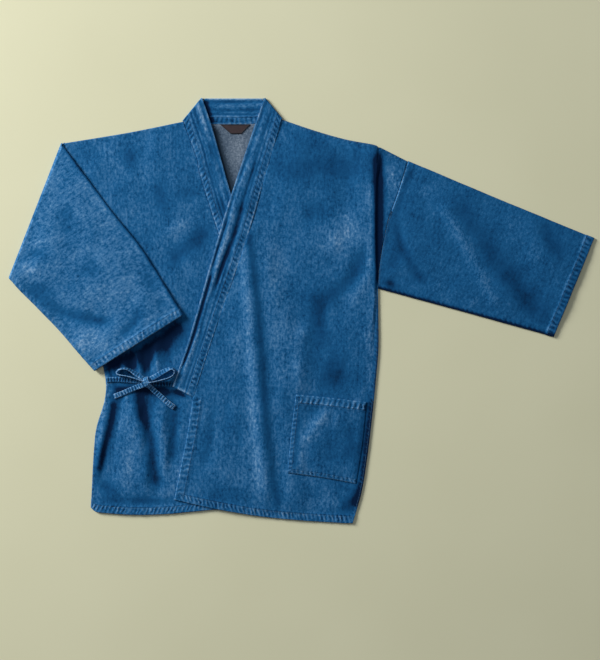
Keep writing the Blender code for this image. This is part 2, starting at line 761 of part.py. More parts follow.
def build_sleeve_left():
    """The spread sleeve, a flattened tube from the armhole to its open cuff."""
    outside = shifted(edge(ARMHOLE_LEFT, ROWS_ARMHOLE), GAP + SIDE_TUCK)
    top = edge(SLEEVE_LEFT_TOP, SLEEVE_LEFT_SECTIONS, end=HEM_STATIONS)
    under = edge(SLEEVE_LEFT_UNDER, SLEEVE_LEFT_SECTIONS, end=HEM_STATIONS)
    cuff = edge((SLEEVE_LEFT_TOP[-1], SLEEVE_LEFT_UNDER[-1]), ROWS_ARMHOLE)
    top[0], under[0] = outside[0], outside[-1]
    plan = patch(top, under, outside, cuff)
    apart = CLOTH + TUBE_AIR
    low = surface(plan, np.full(plan.shape[:2], 0.5 * CLOTH))
    high = surface(plan, 0.5 * CLOTH + apart + sleeve_loft(plan, FOLDS_SLEEVE_LEFT))
    rings = []
    for low_row, high_row, row in zip(low, high, plan):
        rings.append(tube_ring(low_row, high_row, edge_bulge(row[0], row[-1], 0.5 * apart)))
    rise = band_rise(edge_distance(plan, ("bottom",)), HEM_WIDTH)
    above = tube_thickness(rise, upper_first=False)
    return wall("sleeve_left", np.array(rings), above, 0.5 * CLOTH, DENIM, ring=True)


def build_sleeve_right(trees):
    """The folded sleeve: a short root flat on the floor, a turn at the fold, and the rest on top."""
    outside = shifted(edge(ARMHOLE_RIGHT, ROWS_ARMHOLE), -GAP - SIDE_TUCK)
    thick = 2 * CLOTH + TUBE_AIR
    axis_height = thick + 0.5 * GAP
    fold_top, fold_low = np.array(FOLD_TOP), np.array(FOLD_LOW)
    way = (fold_low - fold_top) / np.linalg.norm(fold_low - fold_top)
    out = np.array((way[1], -way[0]))
    axis = edge((fold_top - axis_height * out, fold_low - axis_height * out), ROWS_ARMHOLE)
    low_mid, high_mid = 0.5 * CLOTH, thick - 0.5 * CLOTH
    bulge = 0.5 * (high_mid - low_mid)
    rings = []
    for share in np.linspace(0.0, 1.0, ROOT_SECTIONS + 1):
        row = outside * (1 - share) + axis * share
        layers = [np.column_stack([row, np.full(len(row), z)]) for z in (low_mid, high_mid)]
        rings.append(tube_ring(*layers, edge_bulge(row[0], row[-1], bulge)))
    for angle in np.linspace(0.0, np.pi, TURN_SECTIONS + 2)[1:-1]:
        layers = []
        for radius in (axis_height - low_mid, axis_height - high_mid):
            height = np.full(len(axis), axis_height - radius * np.cos(angle))
            layers.append(np.column_stack([axis + out * radius * np.sin(angle), height]))
        rings.append(tube_ring(*layers, edge_bulge(axis[0], axis[-1], bulge)))
    top = edge(FOLDED_TOP, FOLDED_SECTIONS, end=HEM_STATIONS)
    under = edge(FOLDED_UNDER, FOLDED_SECTIONS, end=HEM_STATIONS)
    cuff = edge((FOLDED_TOP[-1], FOLDED_UNDER[-1]), ROWS_ARMHOLE)
    top[0], under[0] = axis[0], axis[-1]
    plan = patch(top, under, axis, cuff)
    root = BVHTree.FromPolygons(
        [Vector((x, y, thick)) for x, y in (outside[0], outside[-1], axis[-1], axis[0])],
        [(0, 1, 2, 3)],
    )
    lowest = resting_height(plan, trees + [root], 0.5 * CLOTH, 2 * GAP)
    lowest[0] = thick + GAP + 0.5 * CLOTH
    height = drape(lowest)
    height += CUFF_LIFT * smoothstep(1 - edge_distance(plan, ("bottom",)) / CUFF_REACH)
    front = surface(plan, height)
    back = surface(plan, height + CLOTH + TUBE_AIR + sleeve_loft(plan, FOLDS_SLEEVE_RIGHT))
    for back_row, front_row, row in zip(back, front, plan):
        rings.append(tube_ring(back_row, front_row, edge_bulge(row[0], row[-1], bulge)))
    plain = np.zeros((len(rings) - len(plan), plan.shape[1]))
    rise = np.vstack([plain, band_rise(edge_distance(plan, ("bottom",)), HEM_WIDTH)])
    above = tube_thickness(rise, upper_first=True)
    return wall("sleeve_right", np.array(rings), above, 0.5 * CLOTH, DENIM, ring=True)


def build_pocket(tree):
    """The patch pocket, made from the front's own surface and moved out, hemmed at its top."""
    near = (POCKET_HEM, POCKET_HEM + STEP_WIDTH)
    left = edge(POCKET_LEFT, POCKET_ROWS, start=near)
    right = edge(POCKET_RIGHT, POCKET_ROWS, start=near)
    top = edge(POCKET_TOP, POCKET_COLUMNS)
    plan = patch(left, right, top, edge(POCKET_LOW, POCKET_COLUMNS))
    lowest = resting_height(plan, [tree], 0.5 * CLOTH)
    rise = band_rise(edge_distance(plan, ("top",)), POCKET_HEM)
    return wall("pocket", surface(plan, lowest), 0.5 * CLOTH + rise, 0.5 * CLOTH, DENIM)


def build_label(tree):
    """The bare neck label, sewn under the neck seam on the inside of the back."""
    plan = patch(
        edge((LABEL_TOP[0], LABEL_LOW[0]), LABEL_ROWS),
        edge((LABEL_TOP[1], LABEL_LOW[1]), LABEL_ROWS),
        edge(LABEL_TOP, LABEL_COLUMNS),
        edge(LABEL_LOW, LABEL_COLUMNS),
    )
    half = 0.5 * LABEL_THICK
    return wall("neck_label", surface(plan, resting_height(plan, [tree], half)), half, half, LABEL_COLOUR)


def strap_sections(places, trees):
    """Fine sections along a strap, each a row of points across it, lifted clear of what it lies on."""
    line = edge(places, LINE_STEPS * (len(places) - 1))
    along = np.gradient(line[:, :2], axis=0)
    along /= np.linalg.norm(along, axis=1)[:, None]
    side = np.column_stack([-along[:, 1], along[:, 0]])
    turn = np.clip(line[:, 3], -1.0, 1.0) * 0.5 * np.pi
    half_width, half = 0.5 * STRAP_WIDTH, 0.5 * STRAP_THICK
    reach = side * (half_width * np.cos(turn) + half * np.abs(np.sin(turn)))[:, None]
    tops = [
        max(top_of(trees, *(place + share * step)) for share in STRAP_FOOTPRINT)
        for place, step in zip(line[:, :2], reach)
    ]
    padded = np.pad(tops, STRAP_SPREAD, mode="edge")
    lowest = np.max([padded[k : k + len(tops)] for k in range(2 * STRAP_SPREAD + 1)], axis=0)
    drop = half_width * np.abs(np.sin(turn)) + half * np.cos(turn)
    height = drape(lowest[:, None] + GAP)[:, 0] + drop + line[:, 2]
    across = np.column_stack([side * np.cos(turn)[:, None], np.sin(turn)])
    offsets = np.array((-half_width, 0.0, half_width))
    centre = np.column_stack([line[:, :2], height])
    return centre[:, None] + offsets[None, :, None] * across[:, None]


def air_around(section, tree):
    """The least distance from the points of a section to a rounded piece, below 0 inside it."""
    found = []
    for point in section:
        place, normal, _, distance = tree.find_nearest(Vector(point))
        inside = (Vector(point) - place).dot(normal) < 0
        found.append(-distance if inside else distance)
    return min(found)


def build_strap(name, places, below, knot):
    """A flat tie strap along its places, on what is below it and just short of the knot."""
    half = 0.5 * STRAP_THICK
    sections = strap_sections(places, below)
    step = half * face_normals(sections, ring=False)
    corners = np.concatenate([sections - step, sections, sections + step], axis=1)
    air = np.array([air_around(section, knot) for section in corners]) - STRAP_AIR
    clear = np.flatnonzero(air >= 0)
    first, last = float(clear[0]), float(clear[-1])
    if clear[0] > 0:
        first -= air[clear[0]] / (air[clear[0]] - air[clear[0] - 1])
    if clear[-1] < len(air) - 1:
        last += air[clear[-1]] / (air[clear[-1]] - air[clear[-1] + 1])
    stations = np.linspace(first, last, STRAP_STEPS * (len(places) - 1) + 1)
    low = np.clip(stations.astype(int), 0, len(sections) - 2)
    share = (stations - low)[:, None, None]
    middle = (1 - share) * sections[low] + share * sections[low + 1]
    return wall(name, middle, half, half, DENIM_PALE)


def build_knot(trees):
    """The knot of the bow, a rounded lump with blunt ends."""
    turn = KNOT["turn"]
    way = np.array((np.cos(turn), np.sin(turn), 0.0))
    side = np.array((-np.sin(turn), np.cos(turn), 0.0))
    up = np.array((0.0, 0.0, 1.0))
    plan = np.array((KNOT["x"], KNOT["y"]))
    tops = [top_of(trees, *(plan + KNOT["across"] * np.array(step))) for step in KNOT_FOOTPRINT]
    centre = np.array((KNOT["x"], KNOT["y"], max(tops) + GAP + KNOT["tall"]))
    vertices = []
    for i in range(1, KNOT_RINGS):
        angle = np.pi * i / KNOT_RINGS
        size = np.sin(angle) ** KNOT_FULLNESS
        for j in range(KNOT_SIDES):
            round_angle = 2 * np.pi * j / KNOT_SIDES
            vertices.append(
                centre
                - way * KNOT["long"] * np.cos(angle)
                + side * KNOT["across"] * size * np.cos(round_angle)
                + up * KNOT["tall"] * size * np.sin(round_angle)
            )
    vertices.append(centre - way * KNOT["long"])
    vertices.append(centre + way * KNOT["long"])
    first, last = len(vertices) - 2, len(vertices) - 1
    last_ring = (KNOT_RINGS - 2) * KNOT_SIDES
    faces = []
    for j in range(KNOT_SIDES):
        after = (j + 1) % KNOT_SIDES
        faces.append((first, after, j))
        faces.append((last, last_ring + j, last_ring + after))
        for ring in range(0, last_ring, KNOT_SIDES):
            a, b = ring + j, ring + after
            faces.append((a, b, b + KNOT_SIDES, a + KNOT_SIDES))
    return closed_mesh("tie_knot", vertices, faces, DENIM_PALE)


def centre_on_origin(made):
    """Moves the whole jacket so that the middle of its plan is at the origin."""
    corners = np.array([v.co for piece in made for v in piece.data.vertices])
    middle = 0.5 * (corners.min(axis=0) + corners.max(axis=0))
    for piece in made:
        for vertex in piece.data.vertices:
            vertex.co.x -= middle[0]
            vertex.co.y -= middle[1]


def main():
    for found in list(bpy.data.objects):
        bpy.data.objects.remove(found, do_unlink=True)
    back = build_back()
    back_tree = tree_of(back)
    collar_neck = build_collar_neck()
    neck_tree = tree_of(collar_neck)
    front_right = build_front_right([back_tree])
    lower = [back_tree, tree_of(front_right)]
    under_band = [back_tree, neck_tree]
    collar_right = build_band(
        "collar_right", BAND_RIGHT_OUTER, BAND_RIGHT_INNER, under_band, np.array((1.0, 0.0))
    )
    under_left = lower + [tree_of(collar_right)]
    front_left = build_front_left(under_left)
    collar_left = build_band(
        "collar_left",
        BAND_LEFT_OUTER,
        BAND_LEFT_INNER,
        under_left + [neck_tree],
        np.array((-1.0, 0.0)),
    )
    made = [back, collar_neck, front_right, collar_right, front_left, collar_left]
    made += [build_sleeve_left(), build_sleeve_right(lower)]
    made += [build_pocket(tree_of(front_left)), build_label(back_tree)]
    knot = build_knot(lower)
    flat_straps = []
    for name, places in TIES.items():
        strap = build_strap(name, places, lower + flat_straps, tree_of(knot))
        if name.endswith("strap"):
            flat_straps.append(tree_of(strap))
        made.append(strap)
    made.append(knot)
    centre_on_origin(made)


main()
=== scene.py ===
"""Looks of a washed denim samue jacket that lies flat: cloth, seams, stitches, light and camera.

Metres, +Z up. The plan tables keep the coordinates of the part's source. SHIFT carries the
finished pieces from there into the shared frame.
"""

import bpy
import numpy as np
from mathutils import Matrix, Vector
from mathutils.bvhtree import BVHTree


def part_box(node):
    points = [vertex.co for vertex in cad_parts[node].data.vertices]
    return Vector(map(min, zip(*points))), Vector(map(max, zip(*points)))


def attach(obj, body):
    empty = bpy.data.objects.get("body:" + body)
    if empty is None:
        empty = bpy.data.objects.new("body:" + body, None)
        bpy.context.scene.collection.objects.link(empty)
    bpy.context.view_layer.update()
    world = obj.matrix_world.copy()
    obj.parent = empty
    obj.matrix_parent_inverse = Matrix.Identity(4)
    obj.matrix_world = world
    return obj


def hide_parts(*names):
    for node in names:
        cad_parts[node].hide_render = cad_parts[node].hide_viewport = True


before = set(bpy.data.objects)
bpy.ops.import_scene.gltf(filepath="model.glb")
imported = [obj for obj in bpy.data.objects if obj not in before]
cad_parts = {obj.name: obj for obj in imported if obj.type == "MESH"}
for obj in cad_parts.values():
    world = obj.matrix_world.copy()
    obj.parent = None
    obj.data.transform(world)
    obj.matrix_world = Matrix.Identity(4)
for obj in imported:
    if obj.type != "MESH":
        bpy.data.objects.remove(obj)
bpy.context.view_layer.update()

# Cloth, seams, label and straps
CLOTH = 0.0012
HALF = 0.5 * CLOTH
GAP = 0.0003
HEM_WIDTH = 0.015
HEM_RISE = 0.0007
FACING_WIDTH = 0.018
STEP_WIDTH = 0.002
BAND_THICK = 0.0026
BAND_HALF = 0.5 * BAND_THICK
TUBE_AIR = 0.0006
LABEL_THICK = 0.0010
LABEL_RIM = 0.0026
LABEL_RISE = 0.0002
LABEL_RISE_WIDTH = 0.0008
LABEL_EDGE_WIDTH = 0.0006
STRAP_THICK = 0.0018
STRAP_WIDTH = 0.0095
STRAP_STAND = np.radians(77.0)
STRAP_PITCH = 0.0056
STRAP_PUCKER = 0.00018
STRAP_PUCKER_PLACE = 0.7
STRAP_PUCKER_WIDTH = 0.2
STRAP_EDGE_SHARE = 0.62
STRAP_RIDGE_SHARE = 0.10
STRAP_RIDGE_PLACE = 0.8
STRAP_RIDGE_WIDTH = 0.12
STRAP_IN_KNOT = 0.0004

# Shoulders, armholes and side seams, each a smooth line through plan points (x, y)
SHOULDER_LEFT = ((-0.036, 0.363), (0.029, 0.341), (0.086, 0.325), (0.138, 0.315))
SHOULDER_LEFT_END = ((0.150, 0.309), (0.176, 0.297), (0.204, 0.283))
ARMHOLE_LEFT = (
    (0.204, 0.283), (0.186, 0.226), (0.168, 0.177), (0.157, 0.128), (0.150, 0.084), (0.147, 0.043),
)
SIDE_LEFT = (
    (0.147, 0.043), (0.148, -0.020), (0.148, -0.075), (0.143, -0.134),
    (0.137, -0.195), (0.127, -0.279), (0.116, -0.346), (0.099, -0.405),
)
SHOULDER_RIGHT = ((-0.223, 0.359), (-0.327, 0.338), (-0.448, 0.318))
ARMHOLE_RIGHT = (
    (-0.448, 0.318), (-0.446, 0.263), (-0.434, 0.210), (-0.421, 0.143), (-0.412, 0.092), (-0.408, 0.050),
)
SIDE_RIGHT = (
    (-0.408, 0.050), (-0.398, -0.018), (-0.383, -0.079), (-0.371, -0.132),
    (-0.373, -0.172), (-0.388, -0.222), (-0.393, -0.267), (-0.399, -0.3745),
)
NECKLINE = ((-0.223, 0.359), (-0.168, 0.3545), (-0.090, 0.3545), (-0.036, 0.363))

# Hems
HEM_BACK = ((-0.398, -0.372), (-0.322, -0.383), (-0.200, -0.378), (-0.060, -0.388), (0.098, -0.403))
HEM_LEFT = ((-0.240, -0.360), (-0.165, -0.377), (-0.077, -0.392), (0.005, -0.400), (0.099, -0.405))
HEM_RIGHT_SHOWN = (
    (-0.205, -0.383), (-0.260, -0.388), (-0.322, -0.389),
    (-0.381, -0.3848), (-0.393, -0.3810), (-0.399, -0.3745),
)
HEM_RIGHT_HIDDEN = ((-0.016, -0.366), (-0.110, -0.374), (-0.205, -0.383))

# Collar band and front edges. The outer line is the seam with the front, the inner line is free.
BAND_LEFT_OUTER = (
    (-0.036, 0.363), (-0.068, 0.255), (-0.104, 0.131), (-0.162, -0.036), (-0.204, -0.165),
)
BAND_LEFT_INNER = (
    (-0.069, 0.403), (-0.089, 0.346), (-0.132, 0.219), (-0.159, 0.131), (-0.210, -0.048), (-0.243, -0.145),
)
BAND_RIGHT_OUTER = (
    (-0.223, 0.359), (-0.197, 0.288), (-0.191, 0.258), (-0.156, 0.146), (-0.102, -0.010), (-0.051, -0.165),
)
BAND_RIGHT_INNER = (
    (-0.187, 0.403), (-0.168, 0.346), (-0.132, 0.219), (-0.110, 0.150), (-0.060, 0.000), (-0.012, -0.145),
)
EDGE_LEFT = ((-0.204, -0.165), (-0.216, -0.239), (-0.227, -0.294), (-0.240, -0.360))
EDGE_RIGHT = ((-0.051, -0.165), (-0.038, -0.239), (-0.027, -0.294), (-0.016, -0.366))

# The turn of the collar at the neck
TURN_LEG = 0.004
TURN_INSET = 0.0008
TURN_INSET_REACH = 0.05
TURN_CLEARANCE = 0.0016
TURN_RAMP = 0.125
TURN_STEPS = 10

# The pleat that the armpit pushes into the left front: a row for each place up its fold
PLEAT = (
    # y, x of the fold, rise of the upper layer, depth tucked under
    (-0.4100, 0.0860, 0.0000, 0.0000),
    (-0.1500, 0.1300, 0.0000, 0.0000),
    (-0.0900, 0.1340, 0.0006, 0.0000),
    (-0.0300, 0.1370, 0.0016, 0.0000),
    (0.0250, 0.1440, 0.0026, 0.0010),
    (0.0700, 0.1465, 0.0033, 0.0050),
    (0.1500, 0.1455, 0.0033, 0.0060),
    (0.2300, 0.1465, 0.0033, 0.0030),
    (0.2750, 0.1470, 0.0024, 0.0000),
    (0.3120, 0.1500, 0.0000, 0.0000),
)
PLEAT_SECTION = (
    # pitches out from the fold, share of the depth tucked under, share of the rise
    (-1.0, 0.00, 1.00),
    (0.0, 0.00, 0.72),
    (1.0, 0.12, 0.50),
    (2.0, 0.88, 0.28),
    (3.0, 1.00, 0.00),
)
PLEAT_REACH = 0.014
PLEAT_PITCH = 0.0014
PLEAT_INSET = 0.0028
PLEAT_TUCKED = 0.002
PLEAT_TOP_RISE = 0.0006
PLEAT_POINTS = 15
PLEAT_UNDER = 18

# Sleeves: the edges of the spread one from the armhole to the cuff, then the fold line of the
# other and the edges of what lies on the front
SLEEVE_LEFT_UNDER = ((0.1475, 0.043), (0.316, -0.003), (0.482, -0.049))
SLEEVE_LEFT_TOP = ((0.204, 0.283), (0.380, 0.209), (0.558, 0.136))
FOLD_TOP = (-0.456, 0.317)
FOLD_LOW = (-0.555, 0.063)
FOLDED_TOP = (FOLD_TOP, (-0.368, 0.198), (-0.299, 0.111), (-0.225, -0.010))
FOLDED_UNDER = (FOLD_LOW, (-0.470, -0.024), (-0.388, -0.113))
ARMHOLE_CLEARANCE = 0.0006

# Pocket and label
POCKET_TOP = ((-0.009, -0.160), (0.060, -0.167), (0.126, -0.175))
POCKET_LOW = ((-0.025, -0.309), (0.045, -0.319), (0.106, -0.330))
POCKET_LEFT = ((-0.009, -0.160), (-0.018, -0.235), (-0.025, -0.309))
POCKET_RIGHT = ((0.126, -0.175), (0.118, -0.255), (0.106, -0.330))
POCKET_HEM = 0.018
POCKET_PUFF = 0.0005
POCKET_RUMPLE = 0.0002
POCKET_RUMPLE_SPACING = 0.022
POCKET_EDGE = 0.020
POCKET_LET_IN = 0.0009
POCKET_LET_IN_WIDTH = 0.012
POCKET_THINNED = 0.0006
POCKET_THINNED_WIDTH = 0.006
LABEL_TOP = ((-0.153, 0.3535), (-0.096, 0.3535))
LABEL_LOW = ((-0.133, 0.336), (-0.113, 0.336))

# Ties: each row is a place along a strap, x, y, how far its lower edge is held off what it lies
# on, and how far it is turned up on edge, from 0 for lying flat to 1 for standing, below 0 where
# its other edge is the upper one. A strap that runs into the knot ends just short of it.
TIES = {
    "tie_side_strap": (
        (-0.3690, -0.1325, 0, 0), (-0.3500, -0.1315, 0, 0), (-0.3260, -0.1330, 0, 0),
        (-0.2920, -0.1365, 0, 0),
    ),
    "tie_front_strap": (
        (-0.2442, -0.1405, 0, 0), (-0.2520, -0.1400, 0, 0), (-0.2680, -0.1395, 0, 0),
        (-0.2920, -0.1365, 0, 0),
    ),
    "tie_side_end": (
        (-0.2950, -0.1400, 0.0016, 0.15), (-0.3020, -0.1430, 0.0016, 0.15), (-0.3120, -0.1465, 0.0008, 0.1),
        (-0.3250, -0.1520, 0, 0.05), (-0.3390, -0.1580, 0, 0), (-0.3550, -0.1640, 0, 0),
    ),
    "tie_front_end": (
        (-0.2900, -0.1400, 0.0016, 0.15), (-0.2840, -0.1470, 0.0014, 0.15), (-0.2750, -0.1555, 0.0006, 0.05),
        (-0.2640, -0.1650, 0, 0), (-0.2530, -0.1750, 0, 0), (-0.2400, -0.1850, 0, 0),
    ),
    "tie_side_loop": (
        (-0.2950, -0.1320, 0.0006, 0.5), (-0.3020, -0.1270, 0.0006, 0.5), (-0.3130, -0.1205, 0.0006, 0.6),
        (-0.3240, -0.1135, 0.0006, 0.85), (-0.3350, -0.1105, 0.0004, 1), (-0.3460, -0.1130, 0.0004, 1),
        (-0.3500, -0.1190, 0.0006, 1), (-0.3450, -0.1230, 0.0004, 1), (-0.3300, -0.1255, 0, 1),
        (-0.3150, -0.1295, 0, 1), (-0.3030, -0.1340, 0, 0.95), (-0.2950, -0.1365, 0, 0.95),
    ),
    "tie_front_loop": (
        (-0.2890, -0.1325, 0.0006, -0.35), (-0.2790, -0.1275, 0.0006, -0.3), (-0.2680, -0.1210, 0.0004, -0.3),
        (-0.2560, -0.1140, 0.0002, -0.5), (-0.2450, -0.1105, 0, -0.9), (-0.2385, -0.1155, 0, -1),
        (-0.2410, -0.1235, 0, -1), (-0.2500, -0.1290, 0, -1), (-0.2620, -0.1325, 0, -1),
        (-0.2740, -0.1355, 0, -1), (-0.2820, -0.1370, 0, -1), (-0.2890, -0.1380, 0, -1),
    ),
}
KNOT = {"x": -0.2915, "y": -0.1362, "long": 0.0096, "across": 0.0100, "tall": 0.0070, "turn": 0.35}
KNOT_RINGS = 49
KNOT_SIDES = 72
KNOT_STRANDS = 6
KNOT_SLANT = 0.12
KNOT_WRAP = 0.66
KNOT_WRAP_EDGE = 0.12
KNOT_LIP = 0.54
KNOT_LIP_WIDTH = 0.07
KNOT_TIP = 0.004
KNOT_SPOTS = (-0.004, 0.0, 0.004)
KNOT_STRAND_RELIEF = 0.05
KNOT_BLUNTNESS = 0.55
KNOT_SHARES = {"core": 0.76, "wrap": 0.21, "lip": 0.03}
KNOT_WALL = 0.0002
# The knot's core, lips and bars are paler; its ends outside the wrap are darkened as painted shade.
KNOT_FADE_AND_SHADE = {"core": 0.20, "lip": 0.26, "bars": 0.20, "ends": -0.55}
KNOT_BARS = 15.0
KNOT_ROPE_PITCH = 0.7
KNOT_ROPING = 0.6
KNOT_GRAIN = (0.006, 0.008)

# Finer stations of the shells
BACK_TOP_COLUMNS = (40, 40, 28, 14)
BACK_INSET = 0.001
ROWS_ARMHOLE = 84
ROWS_SIDE = 126
ROWS_BAND = 156
HEM_STATIONS = tuple(np.linspace(HEM_WIDTH + STEP_WIDTH, 0.0, 12)[:-1])
FACING_STATIONS = tuple(np.linspace(0.0, FACING_WIDTH + STEP_WIDTH, 11)[1:])
POCKET_STATIONS = tuple(np.linspace(0.0, POCKET_HEM + STEP_WIDTH, 11)[1:])
FRONT_COLUMNS = 118
HIDDEN_COLUMNS = 34
SHOWN_COLUMNS = 96
POCKET_ROWS = 58
POCKET_COLUMNS = 64
LABEL_ROWS = 14
LABEL_COLUMNS = 40
BAND_SPACING = 0.0016
BAND_COLUMNS = 37
NECK_COLUMNS = 90
NECK_ROWS = 25
SLEEVE_ROWS = 112
SLEEVE_COLUMNS = 82
SLEEVE_START = (0.0005,)
FOLDED_ROOT_ROWS = 29
FOLDED_TURN_ROWS = 12
ROUND_POINTS = 3
ROUND_ANGLE = 45.0
STRAP_POINTS = 9
STRAP_SPOTS = 5
LINE_STEPS = 12

# The collar band from its outer seam to its free edge
BAND_WIDTH = 0.047
BAND_RIM = 0.010
BAND_PROFILE = (
    # share of the width from the outer seam, height of the ridges and troughs there, how much paler: painted
    # highlights on the ridges and edges, painted shade in the creases
    (0.00, -0.0014, 0.20),
    (0.04, -0.0013, 0.18),
    (0.08, -0.0011, -0.08),
    (0.16, -0.0006, -0.08),
    (0.24, -0.0003, -0.06),
    (0.29, 0.0001, 0.16),
    (0.34, -0.0001, 0.02),
    (0.38, -0.0005, -0.20),
    (0.45, 0.0000, 0.06),
    (0.53, -0.0003, -0.14),
    (0.62, 0.0001, 0.00),
    (0.72, 0.0004, 0.12),
    (0.80, 0.0002, 0.02),
    (0.87, -0.0005, -0.20),
    (0.92, 0.0000, 0.02),
    (0.95, 0.0002, 0.26),
    (0.97, 0.0003, 0.38),
    (1.00, 0.0001, 0.42),
)
BAND_DEEPEST = -0.0020
BAND_PUCKER = 0.00014
BAND_PUCKER_PITCH = 0.0095
BAND_PUCKER_PLACE = 0.15
BAND_PUCKER_WIDTH = 0.12
BAND_WANDER_SPACING = 0.020
BAND_WANDER_TONE = 0.05
BAND_STRENGTH = 0.75
BAND_STRENGTH_CHANGE = 0.35
BAND_STRENGTH_SPACING = 0.05
BAND_CALM = 0.6
BAND_CALM_REACH = 0.02
BAND_STREAK_STRETCH = 14.0
BAND_STREAK_SPACING = 0.060
BAND_STREAK_TONE = 0.13
NECK_RELIEF = 0.00015
NECK_RELIEF_SPACING = 0.010
NECK_CONTRAST = 1.3
NECK_STREAK_STRETCH = (1.0, 12.0)
NECK_STREAK_SPACING = 0.045
NECK_STREAK_TONE = 0.12

# How often the heights of the layers are eased
PANEL_ROUNDS = 14
BAND_ROUNDS = 24
UNDER_ROUNDS = 40
SEAT_ROUNDS = 10
POCKET_ROUNDS = 6
STRAP_ROUNDS = 12
LAID_ROUNDS = 3
BAND_LAID_ROUNDS = 4
SPREAD_LAID_ROUNDS = 2

# Random seeds of the pieces
SEEDS = {
    "back": 3,
    "front_right": 11,
    "front_left": 21,
    "collar_neck": 31,
    "sleeve_left": 41,
    "sleeve_right": 51,
    "pocket": 61,
    "collar_right": 71,
    "collar_left": 75,
}

# Small unevenness of washed cloth, worn edges and edges darkened as painted shade, and the turn of each
# piece's grain in degrees
RUMPLES = (
    # height, spacing, stretch across and along
    (0.00050, 0.042, (1.4, 0.8)),
    (0.00022, 0.020, (1.0, 1.0)),
    (0.00010, 0.010, (1.0, 1.0)),
)
EDGE_WEAR = 0.10
EDGE_WIDTH = 0.0016
# The front's facing edge on the left is paler: wear, and a painted highlight on the side towards the light.
FACING_WEAR_AND_HIGHLIGHT = 0.22
BACK_CLOUDS = 0.05
BACK_CLOUD_SPACING = 0.05
WEAR_AND_PAINTED_SHADE = {
    # how much paler (below 0 darker, as painted shade), over which width, along which sides
    "front_right": ((EDGE_WEAR, EDGE_WIDTH, ("bottom", "right")),),
    "front_left": ((EDGE_WEAR, EDGE_WIDTH, ("bottom",)),),
    # the spread sleeve's under edge is darkened as painted shade
    "sleeve_left": ((EDGE_WEAR, EDGE_WIDTH, ("bottom",)), (-0.60, 0.0036, ("right",))),
    "sleeve_right": (
        (EDGE_WEAR, EDGE_WIDTH, ("bottom",)),
        # the folded sleeve's free edge is darkened as a painted shadow line
        (-0.40, 0.0024, ("left",)),
        (0.16, 0.0030, ("top",)),
    ),
    "pocket": ((EDGE_WEAR, EDGE_WIDTH, ("left", "bottom", "top")),),
}
# The folded sleeve is made paler all over as painted light, for it lies higher towards the lamp.
FOLDED_PAINTED_LIGHT = 0.105
ROOT_PALER = 0.10
CUFF_DARKER = 0.10
CUFF_SOFT = 0.003
CUFF_LINE = 0.20
CUFF_LINE_PLACE = 0.001
SEAM_LINE = 0.10
SEAM_LINE_WIDTH = 0.0014
SEAM_LINE_END = 0.13
SEAM_LINE_REACH = 0.08
ROOT_GRAIN = 0.02
# Straps that lie in the shade of the bow are darkened as painted shadow; the others are a little paler.
STRAP_PAINTED_SHADOW = {"tie_side_strap": -0.16, "tie_front_strap": -0.42}
STRAP_FADE_OTHER = 0.06
STRAP_EDGE_WEAR = 0.40
STRAP_EDGE_WIDTH = 0.22
STRAP_END_WEAR = 0.24
STRAP_END_REACH = 0.009
LOOP_ROPING = 0.9
STRAP_ROPING = 1.5
GRAIN = {
    "back": -2.0,
    "front_left": -2.0,
    "front_right": 1.0,
    "sleeve_left": -22.0,
    "sleeve_right": -55.0,
    "pocket": -4.0,
    "neck_label": 0.0,
}

# Roping and stitch grooves along the seams of each panel
ALL_ROWS = (0, None)
SEAMS = {
    # side, width of the seam, pitch of its ropes, their slant, how strongly they show, rows
    "back": (("bottom", HEM_WIDTH, 0.0075, 0.8, 1.0, ALL_ROWS),),
    "front_right": (
        ("bottom", HEM_WIDTH, 0.0078, 0.9, 1.0, ALL_ROWS),
        ("right", 0.007, 0.0085, 0.5, 0.45, ALL_ROWS),
        ("top", 0.007, 0.0090, 0.4, 0.30, ALL_ROWS),
        ("left", 0.008, 0.0110, 0.3, 0.35, (0, ROWS_BAND)),
    ),
    "front_left": (
        ("bottom", HEM_WIDTH, 0.0078, 0.9, 1.0, ALL_ROWS),
        ("left", FACING_WIDTH, 0.0110, 0.4, 0.75, (ROWS_BAND, None)),
        ("right", 0.007, 0.0085, 0.5, 0.5, (ROWS_ARMHOLE, None)),
        ("right", 0.006, 0.0110, 0.3, 0.25, (0, ROWS_ARMHOLE)),
        ("top", 0.007, 0.0095, 0.4, 0.30, ALL_ROWS),
    ),
    "band": (("left", 0.0130, 0.0095, 0.04, 0.85, ALL_ROWS),),
    "collar_neck": (("top", 0.0140, 0.0100, 0.05, 0.7, ALL_ROWS),),
    "sleeve": (
        ("bottom", HEM_WIDTH, 0.0090, 0.35, 1.0, ALL_ROWS),
        ("right", 0.006, 0.0095, 0.5, 0.35, ALL_ROWS),
    ),
    "pocket": (
        ("top", 0.0165, 0.0100, 0.3, 1.3, ALL_ROWS),
        ("left", 0.0085, 0.0090, 0.3, 0.8, ALL_ROWS),
        ("bottom", 0.0090, 0.0085, 0.3, 1.0, ALL_ROWS),
    ),
    "neck_label": (),
}
SEAM_REACH = 9.0
SEAM_LIMIT = 8.0
NO_SEAM = 4.0

# Small ridges that run into a panel from its seams
PUCKER_EVEN = 0.6
PUCKERS = {
    # side, pitch, reach, height, seed
    "front_right": (("right", 0.011, 0.014, 0.00028, 5), ("bottom", 0.019, 0.030, 0.00030, 6)),
    "front_left": (("bottom", 0.021, 0.034, 0.00032, 7),),
    "sleeve_left": (
        ("bottom", 0.017, 0.026, 0.00030, 43),
        ("right", 0.015, 0.018, 0.00025, 44),
        ("top", 0.013, 0.012, 0.00022, 45),
    ),
    "sleeve_right": (("bottom", 0.017, 0.026, 0.00030, 53), ("right", 0.015, 0.018, 0.00030, 54)),
    "pocket": (("bottom", 0.012, 0.018, 0.00030, 62), ("left", 0.012, 0.008, 0.00020, 63)),
}

